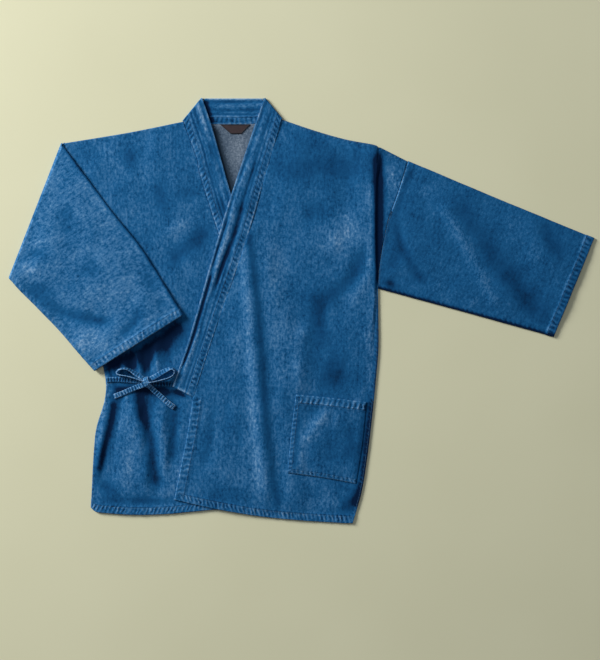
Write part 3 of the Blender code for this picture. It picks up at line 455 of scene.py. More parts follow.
# Stitches
STITCH_LINES = {
    # panel, side, distance from that side, places left out at its two ends
    "body": (
        ("front_left", "bottom", 0.0132, (3, 2)),
        ("front_left", "left", 0.0160, (ROWS_BAND + 4, 2)),
        ("front_left", "right", 0.0030, (ROWS_ARMHOLE, 12)),
        ("front_left", "top", 0.0022, (2, 20)),
        ("front_right", "bottom", 0.0132, (24, 3)),
        ("front_right", "right", 0.0030, (ROWS_ARMHOLE, 12)),
        ("front_right", "top", 0.0022, (10, 3)),
        ("back", "bottom", 0.0132, (3, 3)),
    ),
    "sleeves": (
        ("sleeve_left", "bottom", 0.0135, (0, 0)),
        ("sleeve_left", "top", 0.0020, (2, 2)),
        ("sleeve_right", "bottom", 0.0135, (0, 0)),
    ),
    "collar": (
        ("collar_left", "left", 0.0132, (14, 1)),
        ("collar_left", "right", 0.0028, (14, 1)),
        ("collar_right", "left", 0.0132, (14, 1)),
        ("collar_right", "right", 0.0028, (14, 1)),
        ("collar_neck", "top", 0.0142, (1, 1)),
        ("collar_neck", "bottom", 0.0028, (1, 1)),
    ),
    "pocket": (
        ("pocket", "top", 0.0155, (1, 1)),
        ("pocket", "left", 0.0016, (1, 1)),
        ("pocket", "left", 0.0072, (1, 3)),
        ("pocket", "bottom", 0.0016, (1, 1)),
        ("pocket", "bottom", 0.0072, (2, 1)),
    ),
    "ties": tuple((node, side, 0.0016, (1, 1)) for node in TIES for side in ("left", "right")),
}
STITCH_ARCH = (
    # share of the pitch, lift off the cloth
    (0.10, -0.00022),
    (0.32, 0.00022),
    (0.68, 0.00022),
    (0.90, -0.00022),
)
STITCH_SIDES = 5
STITCH_PITCH = 0.0031
STITCH_RADIUS = 0.00026
TIE_STITCH_PITCH = 0.0026
TIE_STITCH_RADIUS = 0.0002
TWILL_PITCH = 0.0013

# Materials. A noise has the size of its features across and along the cloth, detail, roughness
# and offset. The weights say how much of each part goes into a sum.
NOISE_GAIN = 3.2
DENIM_NOISES = {
    "fleck": (0.0048, 0.0074, 3.0, 0.68, 0.0),
    "fine": (0.0016, 0.0026, 1.0, 0.6, 3.0),
    "streak": (0.0038, 0.040, 2.0, 0.6, 7.0),
    "weft": (0.030, 0.0020, 1.0, 0.6, 11.0),
    "blotch": (0.013, 0.022, 2.0, 0.6, 13.0),
    "patches": (0.034, 0.056, 2.0, 0.5, 17.0),
    "wander": (0.011, 0.011, 1.0, 0.6, 23.0),
    "strength": (0.020, 0.020, 0.0, 0.6, 29.0),
}
REVERSE_NOISES = {
    "fleck": (0.0040, 0.0046, 3.0, 0.8, 0.0),
    "fine": (0.0017, 0.0020, 1.0, 0.6, 5.0),
    "patches": (0.035, 0.045, 2.0, 0.6, 9.0),
}
LABEL_NOISES = {"fine": (0.0006, 0.0006, 1.0, 0.6, 0.0), "cloud": (0.008, 0.008, 2.0, 0.6, 4.0)}
GRAIN_WEIGHTS = {"fleck": 0.30, "fine": 0.10, "streak": 0.065, "blotch": 0.075, "weft": 0.030, "ribs": 0.030}
GRAIN_SOFTENING = -0.45
DENIM_TONE = {
    "grain": 1.0, "patches": 0.110, "rope": 0.20, "lumps": 0.16, "groove": -0.22, "lip": 0.13, "turned": 0.03,
    "fade": 1.0,
}
REVERSE_TONE = {"fleck": 0.34, "fine": 0.16, "patches": 0.06, "ribs": 0.05, "fade": 1.0}
LABEL_TONE = {"fine": 0.14, "cloud": 0.12, "fade": -0.42}
LABEL_MIDDLE = 0.6
WEAVE_RELIEF = {"ribs": 0.35, "fleck": 0.45, "fine": 0.35, "streak": 0.25, "weft": 0.15}
ROPE_RELIEF = {"rope": 1.0, "groove": -0.9, "lip": 0.4}
REVERSE_RELIEF = {"ribs": 0.4, "fleck": 0.5, "fine": 0.4}

# Inputs of a range node: between these two levels of fade and painted shading the grain goes from faint to
# strong
GRAIN_CONTRAST = {1: -0.20, 2: 0.08, 3: 0.36, 4: 1.24}

# How the roughness follows the flecks, and the roughness between them
FLECK_ROUGHNESS = (-0.03, 0.88)

# Depth of a relief in metres, and its strength
WEAVE_BUMP = (0.00016, 0.9)
ROPE_BUMP = (0.00025, 1.0)
REVERSE_BUMP = (0.00015, 0.9)
LABEL_BUMP = (0.0001, 0.6)

# Parts of a seam in shares of its width: from where to where each comes in, or its middle and width
SEAM_INSIDE = (1.05, 0.85)
SEAM_DEEP = (0.08, 0.38)
SEAM_BEYOND = (2.0, 1.0)
SEAM_LUMPS = (0.22, 0.0)
SEAM_GROOVE = (0.93, 0.050)
SEAM_LIP = (0.80, 0.060)
ROPE_BEYOND = 0.18
ROPE_WANDER = 1.4
ROPE_STRENGTH = (0.45, 0.9)

# Shades from dark to pale, each at its place
DENIM_SHADES = (
    (0.0, (0.0003, 0.0110, 0.0440)),
    (0.25, (0.0030, 0.0560, 0.1640)),
    (0.50, (0.0090, 0.0990, 0.2560)),
    (0.75, (0.0480, 0.1640, 0.3480)),
    (0.88, (0.0800, 0.2120, 0.3980)),
    (1.0, (0.1700, 0.3000, 0.4900)),
)
REVERSE_SHADES = ((0.0, (0.014, 0.030, 0.052)), (0.5, (0.070, 0.106, 0.158)), (1.0, (0.230, 0.285, 0.360)))
LABEL_SHADES = ((0.0, (0.002, 0.002, 0.004)), (1.0, (0.040, 0.019, 0.024)))
THREAD_SHADES = ((0.3, (0.020, 0.095, 0.215)), (0.7, (0.070, 0.185, 0.340)))
FLOOR_SHADES = ((0.3, (0.602, 0.594, 0.418)), (0.7, (0.627, 0.619, 0.440)))

# Camera, lamps and floor
CAMERA_HEIGHT = 2.6
SENSOR_HEIGHT = 24.0
CLOTH_LEVEL = 0.006
KEY_PLACE = (-3.75, 2.35, 1.95)
LAMPS = (
    # name, place, target, size, energy, colour
    ("key", KEY_PLACE, (-0.1, 0.0, 0.0), 2.0, 385.0, (1.0, 0.985, 0.95)),
    ("fill", (0.2, 0.6, 3.2), (0.0, 0.0, 0.0), 2.4, 14.0, (0.95, 0.98, 1.0)),
)
SKY_COLOUR = (0.86, 0.92, 1.0, 1.0)
SKY_STRENGTH = 0.16
FLOOR_REACH = 40.0
FLOOR_DROP = 0.0002
FOOT_REACH = (3.55, 1.4)
FOOT_COLOUR = (0.075, 0.074, 0.053, 1.0)

# Places in the photo: one pixel, the pixel at the source's zero, and the middle of the picture
PIXEL = 0.0019
ZERO_X = 300.6
ZERO_Y = 310.3
PHOTO_MIDDLE = (300.0, 330.0)

# How the marks below are drawn, and the lattice of uneven heights
MILLIMETRE = 0.001
LATTICE = 96
LATTICE_START = 40.0
STROKE_STRIDE = 4
STROKE_TAPER = 0.012
STROKE_END = 0.35
HEIGHT = 1
PAINTED_SHADING_AND_FADE = 2

# Folds, faded places, and painted light and shade (highlights on ridges, shade in folds, shadows under the
# sleeve, ties, collar and pleat): half width in pixels of the photo, height in millimetres, how much paler,
# then the pixel places that each runs through
MARKS = {
    "front_left": (
        (5, 0, 0.2, (242, 245), (246, 290), (250, 350), (251, 385), (254, 430), (259, 495)),
        (4.5, 0, -0.22, (249, 230), (252, 262), (258, 305), (262, 350), (264, 390), (269, 450), (278, 508)),
        (8, 1.1, 0, (246, 240), (251, 290), (256, 350), (260, 420), (268, 500)),
        (13, 0, 0.11, (272, 235), (277, 320), (286, 380)),
        (5, 0.5, 0.09, (289, 425), (289, 495)),
        (5, 0.4, 0.1, (236, 332), (236, 372)),
        (4, -0.9, -0.14, (214, 405), (209, 435), (203, 465)),
        (4, -0.6, -0.1, (226, 400), (226, 430)),
        (3, -0.5, -0.1, (238, 420), (240, 450)),
        (9, 0, -0.09, (208, 495), (242, 496)),
        (22, 0, 0.07, (255, 442), (255, 492)),
        (2.8, -0.2, -0.46, (379.5, 300), (378.5, 345), (375.5, 394)),
        (30, 0, -0.13, (288, 152), (362, 170)),
        (10, -0.5, -0.09, (268, 168), (320, 168), (362, 170)),
        (11, -0.5, -0.16, (302, 212), (330, 211)),
        (15, -0.3, -0.12, (314, 290), (320, 330), (318, 352)),
        (7, -0.3, -0.1, (265, 203), (273, 203)),
        (6, 0, -0.1, (294, 135), (300, 135)),
        (5, 0.5, 0.1, (336, 232), (333, 258)),
        (17, 0.3, 0.22, (330, 246), (358, 222)),
        (4, 0.3, 0.2, (370, 180), (371, 225), (370, 275)),
        (4.5, 0.3, 0.12, (370, 305), (369, 342)),
        (7, -1.1, -0.22, (364, 250), (352, 278), (338, 290), (321, 305), (318, 330)),
        (6, 0.8, 0.16, (372, 272), (352, 303)),
        (5, 0.8, 0.15, (305, 328), (297, 345), (300, 380)),
        (24, 0, -0.25, (322, 366), (345, 376)),
        (9, -0.6, -0.06, (325, 380), (354, 380)),
        (4, 0.4, 0.14, (367, 330), (371, 372), (364, 394)),
        (5, -1, -0.56, (373, 398), (369, 430), (365, 470), (355, 508)),
        (2.2, -0.8, -0.16, (337, 481), (357, 484)),
        (2.2, -0.8, -0.16, (336, 487), (358, 491)),
        (7, -1.4, -0.38, (359, 496), (342, 510)),
        (2, -0.4, -0.4, (188, 398), (196, 402)),
        (5, 0, 0.09, (303, 503), (345, 504)),
        # painted shadow in the pleat, beside its fold
        (5, 0, -0.95, (378, 152), (378.5, 200), (379, 240), (381, 284)),
        (4, 0, -0.45, (379, 284), (393, 286)),
        (6, 0, -0.2, (368, 152), (377, 153)),
        (9, 0, 0.12, (390, 162), (395, 192)),
    ),
    "pocket": (
        (5.5, 1.2, 0.23, (327, 411), (315, 427), (303, 443)),
        (3.5, 0.5, 0.13, (301, 448), (301, 468)),
        (4, 0.8, 0.14, (337, 412), (335, 443)),
        (7, -0.5, -0.13, (307, 409), (313, 410)),
        (4, -0.3, -0.15, (298, 417), (295, 468)),
        (6, -1.1, -0.22, (351, 427), (349, 461)),
        (8, -0.3, -0.15, (338, 422), (329, 455)),
        (4.5, -0.5, -0.12, (324, 458), (342, 459)),
        (4.5, -0.4, -0.34, (369, 399), (365, 430), (361, 468), (359, 482)),
    ),
    "front_right": (
        (4.5, 0, -0.6, (115, 400), (109, 430), (103, 450), (98, 474)),
        (4, -1.6, 0, (119, 399), (111, 438), (102, 476)),
        (3.2, 1.2, 0.2, (106, 401), (97, 470)),
        (10, 0.8, 0.12, (129, 399), (128, 440), (126, 488)),
        (12, 0, 0.08, (118, 470), (133, 474)),
        (5, -1.2, -0.4, (140, 396), (145, 420), (150, 440), (152.5, 460), (156, 488)),
        (7, -0.5, -0.36, (138, 390), (144, 424)),
        (3, -0.6, -0.2, (148, 396), (153, 414)),
        (4, 1, 0.16, (162, 424), (164, 440), (164, 472)),
        (4.6, -0.8, -0.27, (173, 401), (174, 430), (171, 461)),
        (3.5, 0.5, 0.05, (181, 419), (179, 449)),
        (6, 0.4, 0.13, (180, 463), (172, 490), (154, 493)),
        (3.5, -0.6, -0.14, (103, 500), (174, 501)),
        (3.5, -0.3, -0.14, (131, 501), (160, 501)),
        (7, -0.5, -0.24, (98, 481), (113, 494)),
        # painted shadow under the folded sleeve's cuff
        (10, -0.4, -0.62, (104, 367), (130, 361), (150, 351), (184, 324)),
        (2, 0.9, 0.3, (111, 368), (113, 382)),
        (2, 1, 0.24, (134, 352), (142, 376)),
        (1.8, 0.9, 0.24, (155, 350), (158, 372)),
        (3.5, -1, -0.3, (132, 352), (134, 372)),
        (4, -1, -0.36, (146, 348), (150, 374)),
        (4, -0.5, -0.22, (166, 340), (167, 364)),
        (1.5, 0.5, 0.32, (105, 372), (110, 384)),
        (1.5, 0.5, 0.32, (113, 388), (104, 401)),
        (2, -0.8, -0.4, (109, 370), (115, 385)),
        (2, -0.5, -0.5, (173, 389.5), (188, 398)),
        (1.8, 0.7, 0.22, (151, 362), (153, 375)),
        (2.6, 0.9, 0.34, (122, 362), (127, 378)),
        # painted shade under and between the ties
        (4, -0.5, -0.3, (115, 387), (150, 390), (184, 394)),
        (7, 0, -0.36, (141, 391), (172, 393)),
        (2.2, 0.8, 0.14, (127, 394), (124, 406)),
        (3, -0.4, -0.62, (114, 388), (121, 391), (130, 389)),
        (2.2, -0.3, -0.45, (115, 378), (126, 381)),
        (2.6, -0.4, -0.4, (143, 364), (145.5, 376)),
        (1.6, 0.7, 0.36, (109, 380), (106, 388)),
        (7, 0, 0.14, (108, 146), (118, 172)),
        (9, -0.3, -0.17, (121, 158), (139, 158)),
        (4, 0.2, 0.08, (147, 171), (148, 184)),
        (6, -0.5, -0.18, (160, 183), (160, 213)),
        (7, -0.4, -0.15, (173, 194), (198, 194)),
        (4, 0, -0.08, (115, 186), (115, 199)),
        (6, 0.7, 0.2, (164, 234), (189, 223)),
        (6, 0.3, 0.09, (156, 246), (160, 254)),
        (8, -0.8, -0.22, (210, 229), (170, 262)),
        (5, -0.4, -0.25, (108, 391), (126, 400)),
        (5, -0.3, -0.09, (150, 226), (150, 242)),
    ),
    "sleeve_left": (
        (11, 0, 0.11, (392, 160), (396, 196)),
        (1.8, 0.3, 0.16, (406, 167), (396, 195), (389, 217)),
        (2.6, -0.6, -0.17, (411, 168), (402, 196), (394, 219)),
        (7, 0.2, 0.1, (416, 191), (430, 192)),
        (6, 1.4, 0.15, (440, 205), (457, 230), (470, 255), (482, 278), (497, 308)),
        (9, -1.1, -0.13, (458, 205), (470, 225), (480, 236), (492, 255), (505, 272), (518, 288), (538, 316)),
        (13, -0.2, -0.09, (502, 268), (530, 300), (556, 322)),
        (10, 0.3, 0.08, (506, 222), (516, 230)),
        (12, 0.7, 0.09, (524, 246), (542, 262)),
        (8, -0.7, -0.16, (541, 224), (562, 257)),
        (4.5, -1, -0.2, (396, 223), (403, 250), (424, 284)),
        (4, 0, -0.4, (384, 281), (397, 287)),
        (7, 0.4, 0.09, (435, 277), (440, 292)),
        (1.6, 0.4, 0.22, (468, 307), (477, 298)),
        (5, -0.9, -0.12, (386, 270), (402, 252)),
        (4, -0.7, -0.08, (388, 281), (428, 274)),
        (90, 0, -0.09, (360, 210), (600, 270)),
    ),
    "sleeve_right": (
        (6.5, -1.4, -0.25, (26, 286), (43, 299), (62, 311), (84, 318), (108, 322)),
        (4.5, -0.3, -0.1, (72, 315), (90, 319), (110, 322)),
        (5, -0.5, -0.14, (34, 284), (58, 295)),
        (5, -1.1, -0.28, (140, 309), (134, 324), (119, 337)),
        (7, -0.6, -0.18, (155, 299), (168, 309)),
        (6.5, -0.5, -0.2, (144, 271), (154, 291)),
        (5, -0.7, -0.17, (28, 256), (47, 250)),
        (9, -0.4, -0.15, (65, 204), (67, 237)),
        (4, -0.5, -0.13, (90, 251), (97, 278)),
        (8, -0.3, -0.14, (82, 264), (90, 278)),
        (4, -0.4, -0.11, (62, 281), (78, 289)),
        (8, 1, 0.25, (20, 270), (42, 269)),
        (14, 0.3, 0.12, (114, 276), (124, 297)),
        (12, 0.2, 0.12, (84, 299), (98, 303)),
        (13, 0.6, 0.16, (78, 335), (94, 347), (112, 345)),
        (8, 0.4, 0.07, (80, 174), (118, 226)),
    ),
    "collar_left": (
        (1.5, -0.6, -0.24, (255, 165), (247, 190), (241, 210)),
        (2.8, -1.5, -0.5, (243, 204), (236, 230), (229, 250), (221, 270), (214, 289)),
        (1.4, -0.7, -0.34, (214, 286), (206, 312), (199, 338)),
        (1, -0.5, -0.3, (228, 218), (220, 242), (211, 270)),
        (1.25, -0.9, -0.74, (211.5, 274), (199.8, 316), (191, 345), (183, 365)),
        (
            2, 0.5, 0.22,
            (247, 168), (238, 188), (228, 230), (219, 260), (210, 300), (201, 329), (193, 345), (184, 371),
        ),
        (1.2, 0.3, 0.2, (252, 188), (244, 212), (238, 232), (232, 250), (225, 268), (217, 290)),
        (1.8, -0.4, -0.2, (257, 113), (239, 178)),
        (6, 0, 0.13, (272, 125), (270, 149)),
        (1.4, 0.2, 0.36, (174, 386), (192, 395.5)),
    ),
    "collar_right": (
        (1, 0, -0.3, (202.2, 98.2), (212.2, 128.2), (231.1, 195)),
        (2.6, 0, 0.34, (197, 102), (205, 128), (210, 142)),
        (2, 0, 0.16, (214, 152), (226, 190)),
        (1.8, -0.5, -0.26, (206, 131), (213, 152), (222, 176)),
        (1.8, -0.4, -0.26, (216, 128), (232, 178)),
        (4, 0, -0.22, (220, 195), (226, 222)),
    ),
    # painted shadow of the right collar band on the neck
    "collar_neck": ((2.8, 0, -0.72, (205, 99), (208, 111), (214, 126)),),
    "back": (
        # painted shadow of the right collar band on the back
        (4.2, 0, -0.95, (213, 127), (218, 145), (223, 163), (228, 180), (234, 196)),
        (8, 0, 0.18, (238, 136), (240, 166)),
    ),
}


def travel(points):
    """The distance to each point of a line from its first one."""
    steps = np.linalg.norm(np.diff(points, axis=0), axis=1)
    return np.concatenate([[0.0], np.cumsum(steps)])


def smoothstep(value):
    value = np.clip(value, 0.0, 1.0)
    return value * value * (3 - 2 * value)


def bell(distance, width):
    """1 at no distance, falling away softly over this width."""
    return np.exp(-((distance / width) ** 2))


def sampled(at, distance, values):
    """The values of a line's points, read at these distances along it."""
    return np.stack([np.interp(at, distance, column) for column in values.T], axis=-1)


def paired(first, second):
    """Two coordinates for each point of a grid."""
    return np.stack(np.broadcast_arrays(first, second), axis=-1)


def smooth_line(points):
    """A fine polyline of a smooth curve through these points, and the distance to each of its points."""
    points = np.array(points, float)
    ends = np.vstack([2 * points[0] - points[1], points, 2 * points[-1] - points[-2]])
    s = np.linspace(0.0, 1.0, LINE_STEPS, endpoint=False)[:, None]
    pieces = []
    for before, start, end, after in zip(ends, ends[1:], ends[2:], ends[3:]):
        pieces.append(
            start
            + 0.5 * s * (end - before)
            + s**2 * (before - 2.5 * start + 2 * end - 0.5 * after)
            + s**3 * (1.5 * (start - end) + 0.5 * (after - before))
        )
    fine = np.vstack(pieces + [points[-1:]])
    return fine, travel(fine)


def edge(points, count, start=(), end=()):
    """Points along an edge: at named distances from its two ends, and count spans between those."""
    fine, distance = smooth_line(points)
    first = [0.0, *start]
    last = [distance[-1] - d for d in end] + [distance[-1]]
    stations = np.concatenate([first, np.linspace(first[-1], last[0], count + 1)[1:-1], last])
    return sampled(stations, distance, fine)


def joined(*edges):
    """Edges that meet end to end, as one."""
    return np.vstack([edges[0]] + [later[1:] for later in edges[1:]])


def lengthwise(points):
    """The share of its length at which each point of an edge lies."""
    distance = travel(points)
    return distance / distance[-1]


def patch(left, right, top, bottom):
    """Rows and columns of plan points that fill the four edges of a panel."""
    v = 0.5 * (lengthwise(left) + lengthwise(right))[:, None, None]
    u = 0.5 * (lengthwise(top) + lengthwise(bottom))[None, :, None]
    across = (1 - u) * left[:, None] + u * right[:, None]
    down = (1 - v) * top[None] + v * bottom[None]
    upper, lower = ((1 - u) * row[0] + u * row[-1] for row in (top, bottom))
    return across + down - ((1 - v) * upper + v * lower)


def sideways(line):
    """Unit directions across a plan line, to its left."""
    along = np.gradient(line, axis=0)
    along /= np.linalg.norm(along, axis=1)[:, None]
    return np.column_stack([-along[:, 1], along[:, 0]])


def edge_distance(plan, sides):
    """How far each point of a panel lies from the nearest of its named sides."""
    across = np.linalg.norm(np.diff(plan, axis=1), axis=2)
    down = np.linalg.norm(np.diff(plan, axis=0), axis=2)
    from_left = np.pad(np.cumsum(across, axis=1), ((0, 0), (1, 0)))
    from_top = np.pad(np.cumsum(down, axis=0), ((1, 0), (0, 0)))
    found = {
        "left": from_left,
        "right": from_left[:, -1:] - from_left,
        "top": from_top,
        "bottom": from_top[-1:] - from_top,
    }
    return np.min([found[side] for side in sides], axis=0)


def side_travel(plan, side):
    """How far along one of its sides each row or column of a panel lies."""
    if side in ("left", "right"):
        return travel(plan[:, 0 if side == "left" else -1])[:, None]
    return travel(plan[0 if side == "top" else -1])[None, :]


def side_rise(plan, side, width):
    """How much a turned edge of this width stands up along one side."""
    return HEM_RISE * smoothstep((width + STEP_WIDTH - edge_distance(plan, (side,))) / STEP_WIDTH)


def from_photo(x, y):
    return (x - ZERO_X) * PIXEL, (ZERO_Y - y) * PIXEL


def strokes(plan, marks, column):
    """What the listed marks add at each plan point: their heights, or how much paler or darker they are as
    fade and painted light and shade.
    """
    total = np.zeros(plan.shape[:-1])
    for mark in marks:
        if mark[column] == 0.0:
            continue
        line = smooth_line([from_photo(x, y) for x, y in mark[3:]])[0][::STROKE_STRIDE]
        steps = np.linalg.norm(np.diff(line, axis=0), axis=1)
        reached = travel(line)
        nearest = np.full(plan.shape[:-1], np.inf)
        at = np.zeros(plan.shape[:-1])
        for k, step in enumerate(steps):
            way = (line[k + 1] - line[k]) / step
            along = np.clip((plan - line[k]) @ way, 0.0, step)
            away = np.linalg.norm(plan - line[k] - along[..., None] * way, axis=-1)
            at = np.where(away < nearest, reached[k] + along, at)
            nearest = np.minimum(nearest, away)
        from_end = np.minimum(at, reached[-1] - at)
        strength = STROKE_END + (1 - STROKE_END) * smoothstep(from_end / STROKE_TAPER)
        total += mark[column] * strength * bell(nearest, mark[0] * PIXEL)
    return total


def surface(plan, height):
    height = np.broadcast_to(height, plan.shape[:-1])
    return np.concatenate([plan, height[..., None]], axis=-1)


def face_normals(points, ring):
    """Unit normals of a grid: out of a ring, and up from a panel."""
    across = np.roll(points, -1, 1) - np.roll(points, 1, 1) if ring else np.gradient(points, axis=1)
    normal = np.cross(np.gradient(points, axis=0), across)
    if ring:
        outward = np.sum(normal * (points - points.mean(axis=1, keepdims=True)))
    else:
        outward = normal[..., 2].sum()
    return np.sign(outward) * normal / np.linalg.norm(normal, axis=2)[..., None]


def tree_of(points, faces):
    return BVHTree.FromPolygons(points.tolist(), faces)


def solid_tree(node):
    """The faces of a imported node, in the coordinates of the plan tables."""
    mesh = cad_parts[node].data
    points = np.empty(3 * len(mesh.vertices))
    mesh.vertices.foreach_get("co", points)
    return tree_of(points.reshape(-1, 3) - SHIFT, [tuple(face.vertices) for face in mesh.polygons])


def rays(tree, plan, down=True):
    """Where upright rays through plan points first meet a tree, and nan where they miss it."""
    start = 1.0 if down else -1.0
    way = Vector((0.0, 0.0, -start))
    flat = plan.reshape(-1, 2)
    found = np.full(len(flat), np.nan)
    for k, (x, y) in enumerate(flat):
        hit = tree.ray_cast(Vector((x, y, start)), way)[0]
        if hit:
            found[k] = hit.z
    return found.reshape(plan.shape[:-1])


def filled(values):
    """Missing heights taken from their neighbours."""
    values = values.copy()
    while np.isnan(values).any():
        padded = np.pad(values, 1, constant_values=np.nan)
        near = np.stack([padded[:-2, 1:-1], padded[2:, 1:-1], padded[1:-1, :-2], padded[1:-1, 2:]])
        known = ~np.isnan(near)
        mean = np.where(known, near, 0.0).sum(axis=0) / np.maximum(known.sum(axis=0), 1)
        take = np.isnan(values) & known.any(axis=0)
        values[take] = mean[take]
    return values


def highest_near(values):
    padded = np.pad(values, 1, mode="edge")
    rows, columns = values.shape
    return np.max([padded[i : i + rows, j : j + columns] for i in range(3) for j in range(3)], axis=0)


def trees(*nodes):
    return [SHELLS[node].tree for node in nodes]


def tops(plan, below):
    """The highest of the trees underneath, 0 on the bare floor."""
    found = np.zeros(plan.shape[:-1])
    for tree in below:
        found = np.fmax(found, np.nan_to_num(rays(tree, plan)))
    return found


def lowest_middle(plan, below, half):
    """The lowest middle surface that clears what lies underneath."""
    under = tops(plan, below)
    return highest_near(np.where(under > 0, under + GAP, 0.0)) + half


def eased(height, rounds, lowest=-1.0):
    """A height smoothed over its neighbours, never below the lowest allowed."""
    for _ in range(rounds):
        p = np.pad(height, 1, mode="edge")
        near = p[:-2, 1:-1] + p[2:, 1:-1] + p[1:-1, :-2] + p[1:-1, 2:]
        height = np.maximum(0.5 * height + 0.125 * near, lowest)
    return height


def laid(height, lowest, rounds):
    """A height brought up to the lowest allowed and eased into it."""
    return eased(np.maximum(height, lowest), rounds, lowest)


def uneven(plan, seed, spacing):
    """A soft random height from -1 to 1 whose bumps are about this far apart."""
    lattice = np.random.default_rng(seed).uniform(-1.0, 1.0, (LATTICE, LATTICE))
    place = plan / spacing + LATTICE_START
    cell = np.floor(place).astype(int)
    share = smoothstep(place - cell)
    i, j = cell[..., 0] % (LATTICE - 1), cell[..., 1] % (LATTICE - 1)
    u, v = share[..., 0], share[..., 1]
    low = lattice[i, j] * (1 - u) + lattice[i + 1, j] * u
    high = lattice[i, j + 1] * (1 - u) + lattice[i + 1, j + 1] * u
    return low * (1 - v) + high * v


def turned(plan, degrees):
    """Plan points in axes turned by an angle: across the warp and along it."""
    c, s = np.cos(np.radians(degrees)), np.sin(np.radians(degrees))
    return paired(plan[..., 0] * c + plan[..., 1] * s, plan[..., 1] * c - plan[..., 0] * s)


def seam_marks(plan, seams):
    """Place along and across the nearest of the seams, and how far that seam shows."""
    size = plan.shape[:2]
    best = np.full(size, SEAM_REACH)
    along, shown = np.zeros(size), np.zeros(size)
    for side, width, pitch, slant, strength, rows in seams:
        away = edge_distance(plan, (side,)) / width
        allowed = np.zeros(size, bool)
        allowed[slice(*rows)] = True
        nearer = (away < best) & allowed
        best = np.where(nearer, away, best)
        along = np.where(nearer, side_travel(plan, side) / pitch + slant * away, along)
        shown = np.where(nearer, strength, shown)
    return along, np.where(best > SEAM_LIMIT, NO_SEAM, best), shown


def puckered(height, plan, node):
    """A height with small ridges that run into a panel from its seams."""
    for side, pitch, reach, tall, seed in PUCKERS[node]:
        along = side_travel(plan, side)
        wander = uneven(paired(along, 0.0 * along), seed, 2.5 * pitch)
        wave = np.sin(2 * np.pi * along / pitch + 2.5 * wander)
        wave = tall * (PUCKER_EVEN + (1 - PUCKER_EVEN) * wander) * wave
        height = height + wave * bell(edge_distance(plan, (side,)), reach)
    return height


def rumples(plan, seed):
    """The small soft unevenness of washed cloth."""
    return sum(
        height * uneven(plan * np.array(stretch), seed + k, spacing)
        for k, (height, spacing, stretch) in enumerate(RUMPLES)
    )


def creased(node, plan, rise):
    """The middle of a single layer: its solid's top, smoothed, with its own creases."""
    solid = filled(rays(SOLID[node], plan)) - HALF - rise
    creases = MILLIMETRE * strokes(plan, MARKS[node], HEIGHT)
    return eased(solid, PANEL_ROUNDS) + creases + rumples(plan, SEEDS[node])


def worn_and_painted_shading(node, plan):
    """Paler and darker places of a panel, from fade and painted light and shade, with its worn edges and
    edges darkened as painted shade.
    """
    fade = strokes(plan, MARKS[node], PAINTED_SHADING_AND_FADE)
    for paler_and_painted_shading, width, sides in WEAR_AND_PAINTED_SHADE[node]:
        fade = fade + paler_and_painted_shading * bell(edge_distance(plan, sides), width)
    return fade


def grid_faces(rows, columns, ring):
    """Quads of a wall: its outer side, its inner side, and its rims."""
    index = np.arange(rows * columns).reshape(rows, columns)
    if ring:
        index = np.hstack([index, index[:, :1]])
    under = rows * columns
    cells = [index[:-1, :-1], index[:-1, 1:], index[1:, 1:], index[1:, :-1]]
    outer = np.stack(cells, axis=-1).reshape(-1, 4)
    sides = [index[0, ::-1], index[-1]]
    if not ring:
        sides += [index[:, 0], index[::-1, -1]]
    rims = [np.column_stack([s[:-1], s[1:], s[1:] + under, s[:-1] + under]) for s in sides]
    return np.vstack([outer, outer[:, ::-1] + under] + rims), len(outer)


def signed_volume(points, faces):
    a, b, c, d = (points[faces[:, k]] for k in range(4))
    return np.sum(a * np.cross(b, c)) + np.sum(a * np.cross(c, d))


def placed(name, points, faces, materials):
    """A finished piece in the shared frame, riding on the jacket's one body."""
    mesh = bpy.data.meshes.new(name)
    mesh.from_pydata((points + SHIFT).tolist(), [], faces.tolist())
    mesh.shade_smooth()
    for found in materials:
        mesh.materials.append(found)
    made = bpy.data.objects.new(name, mesh)
    bpy.context.scene.collection.objects.link(made)
    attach(made, "root")
    return made


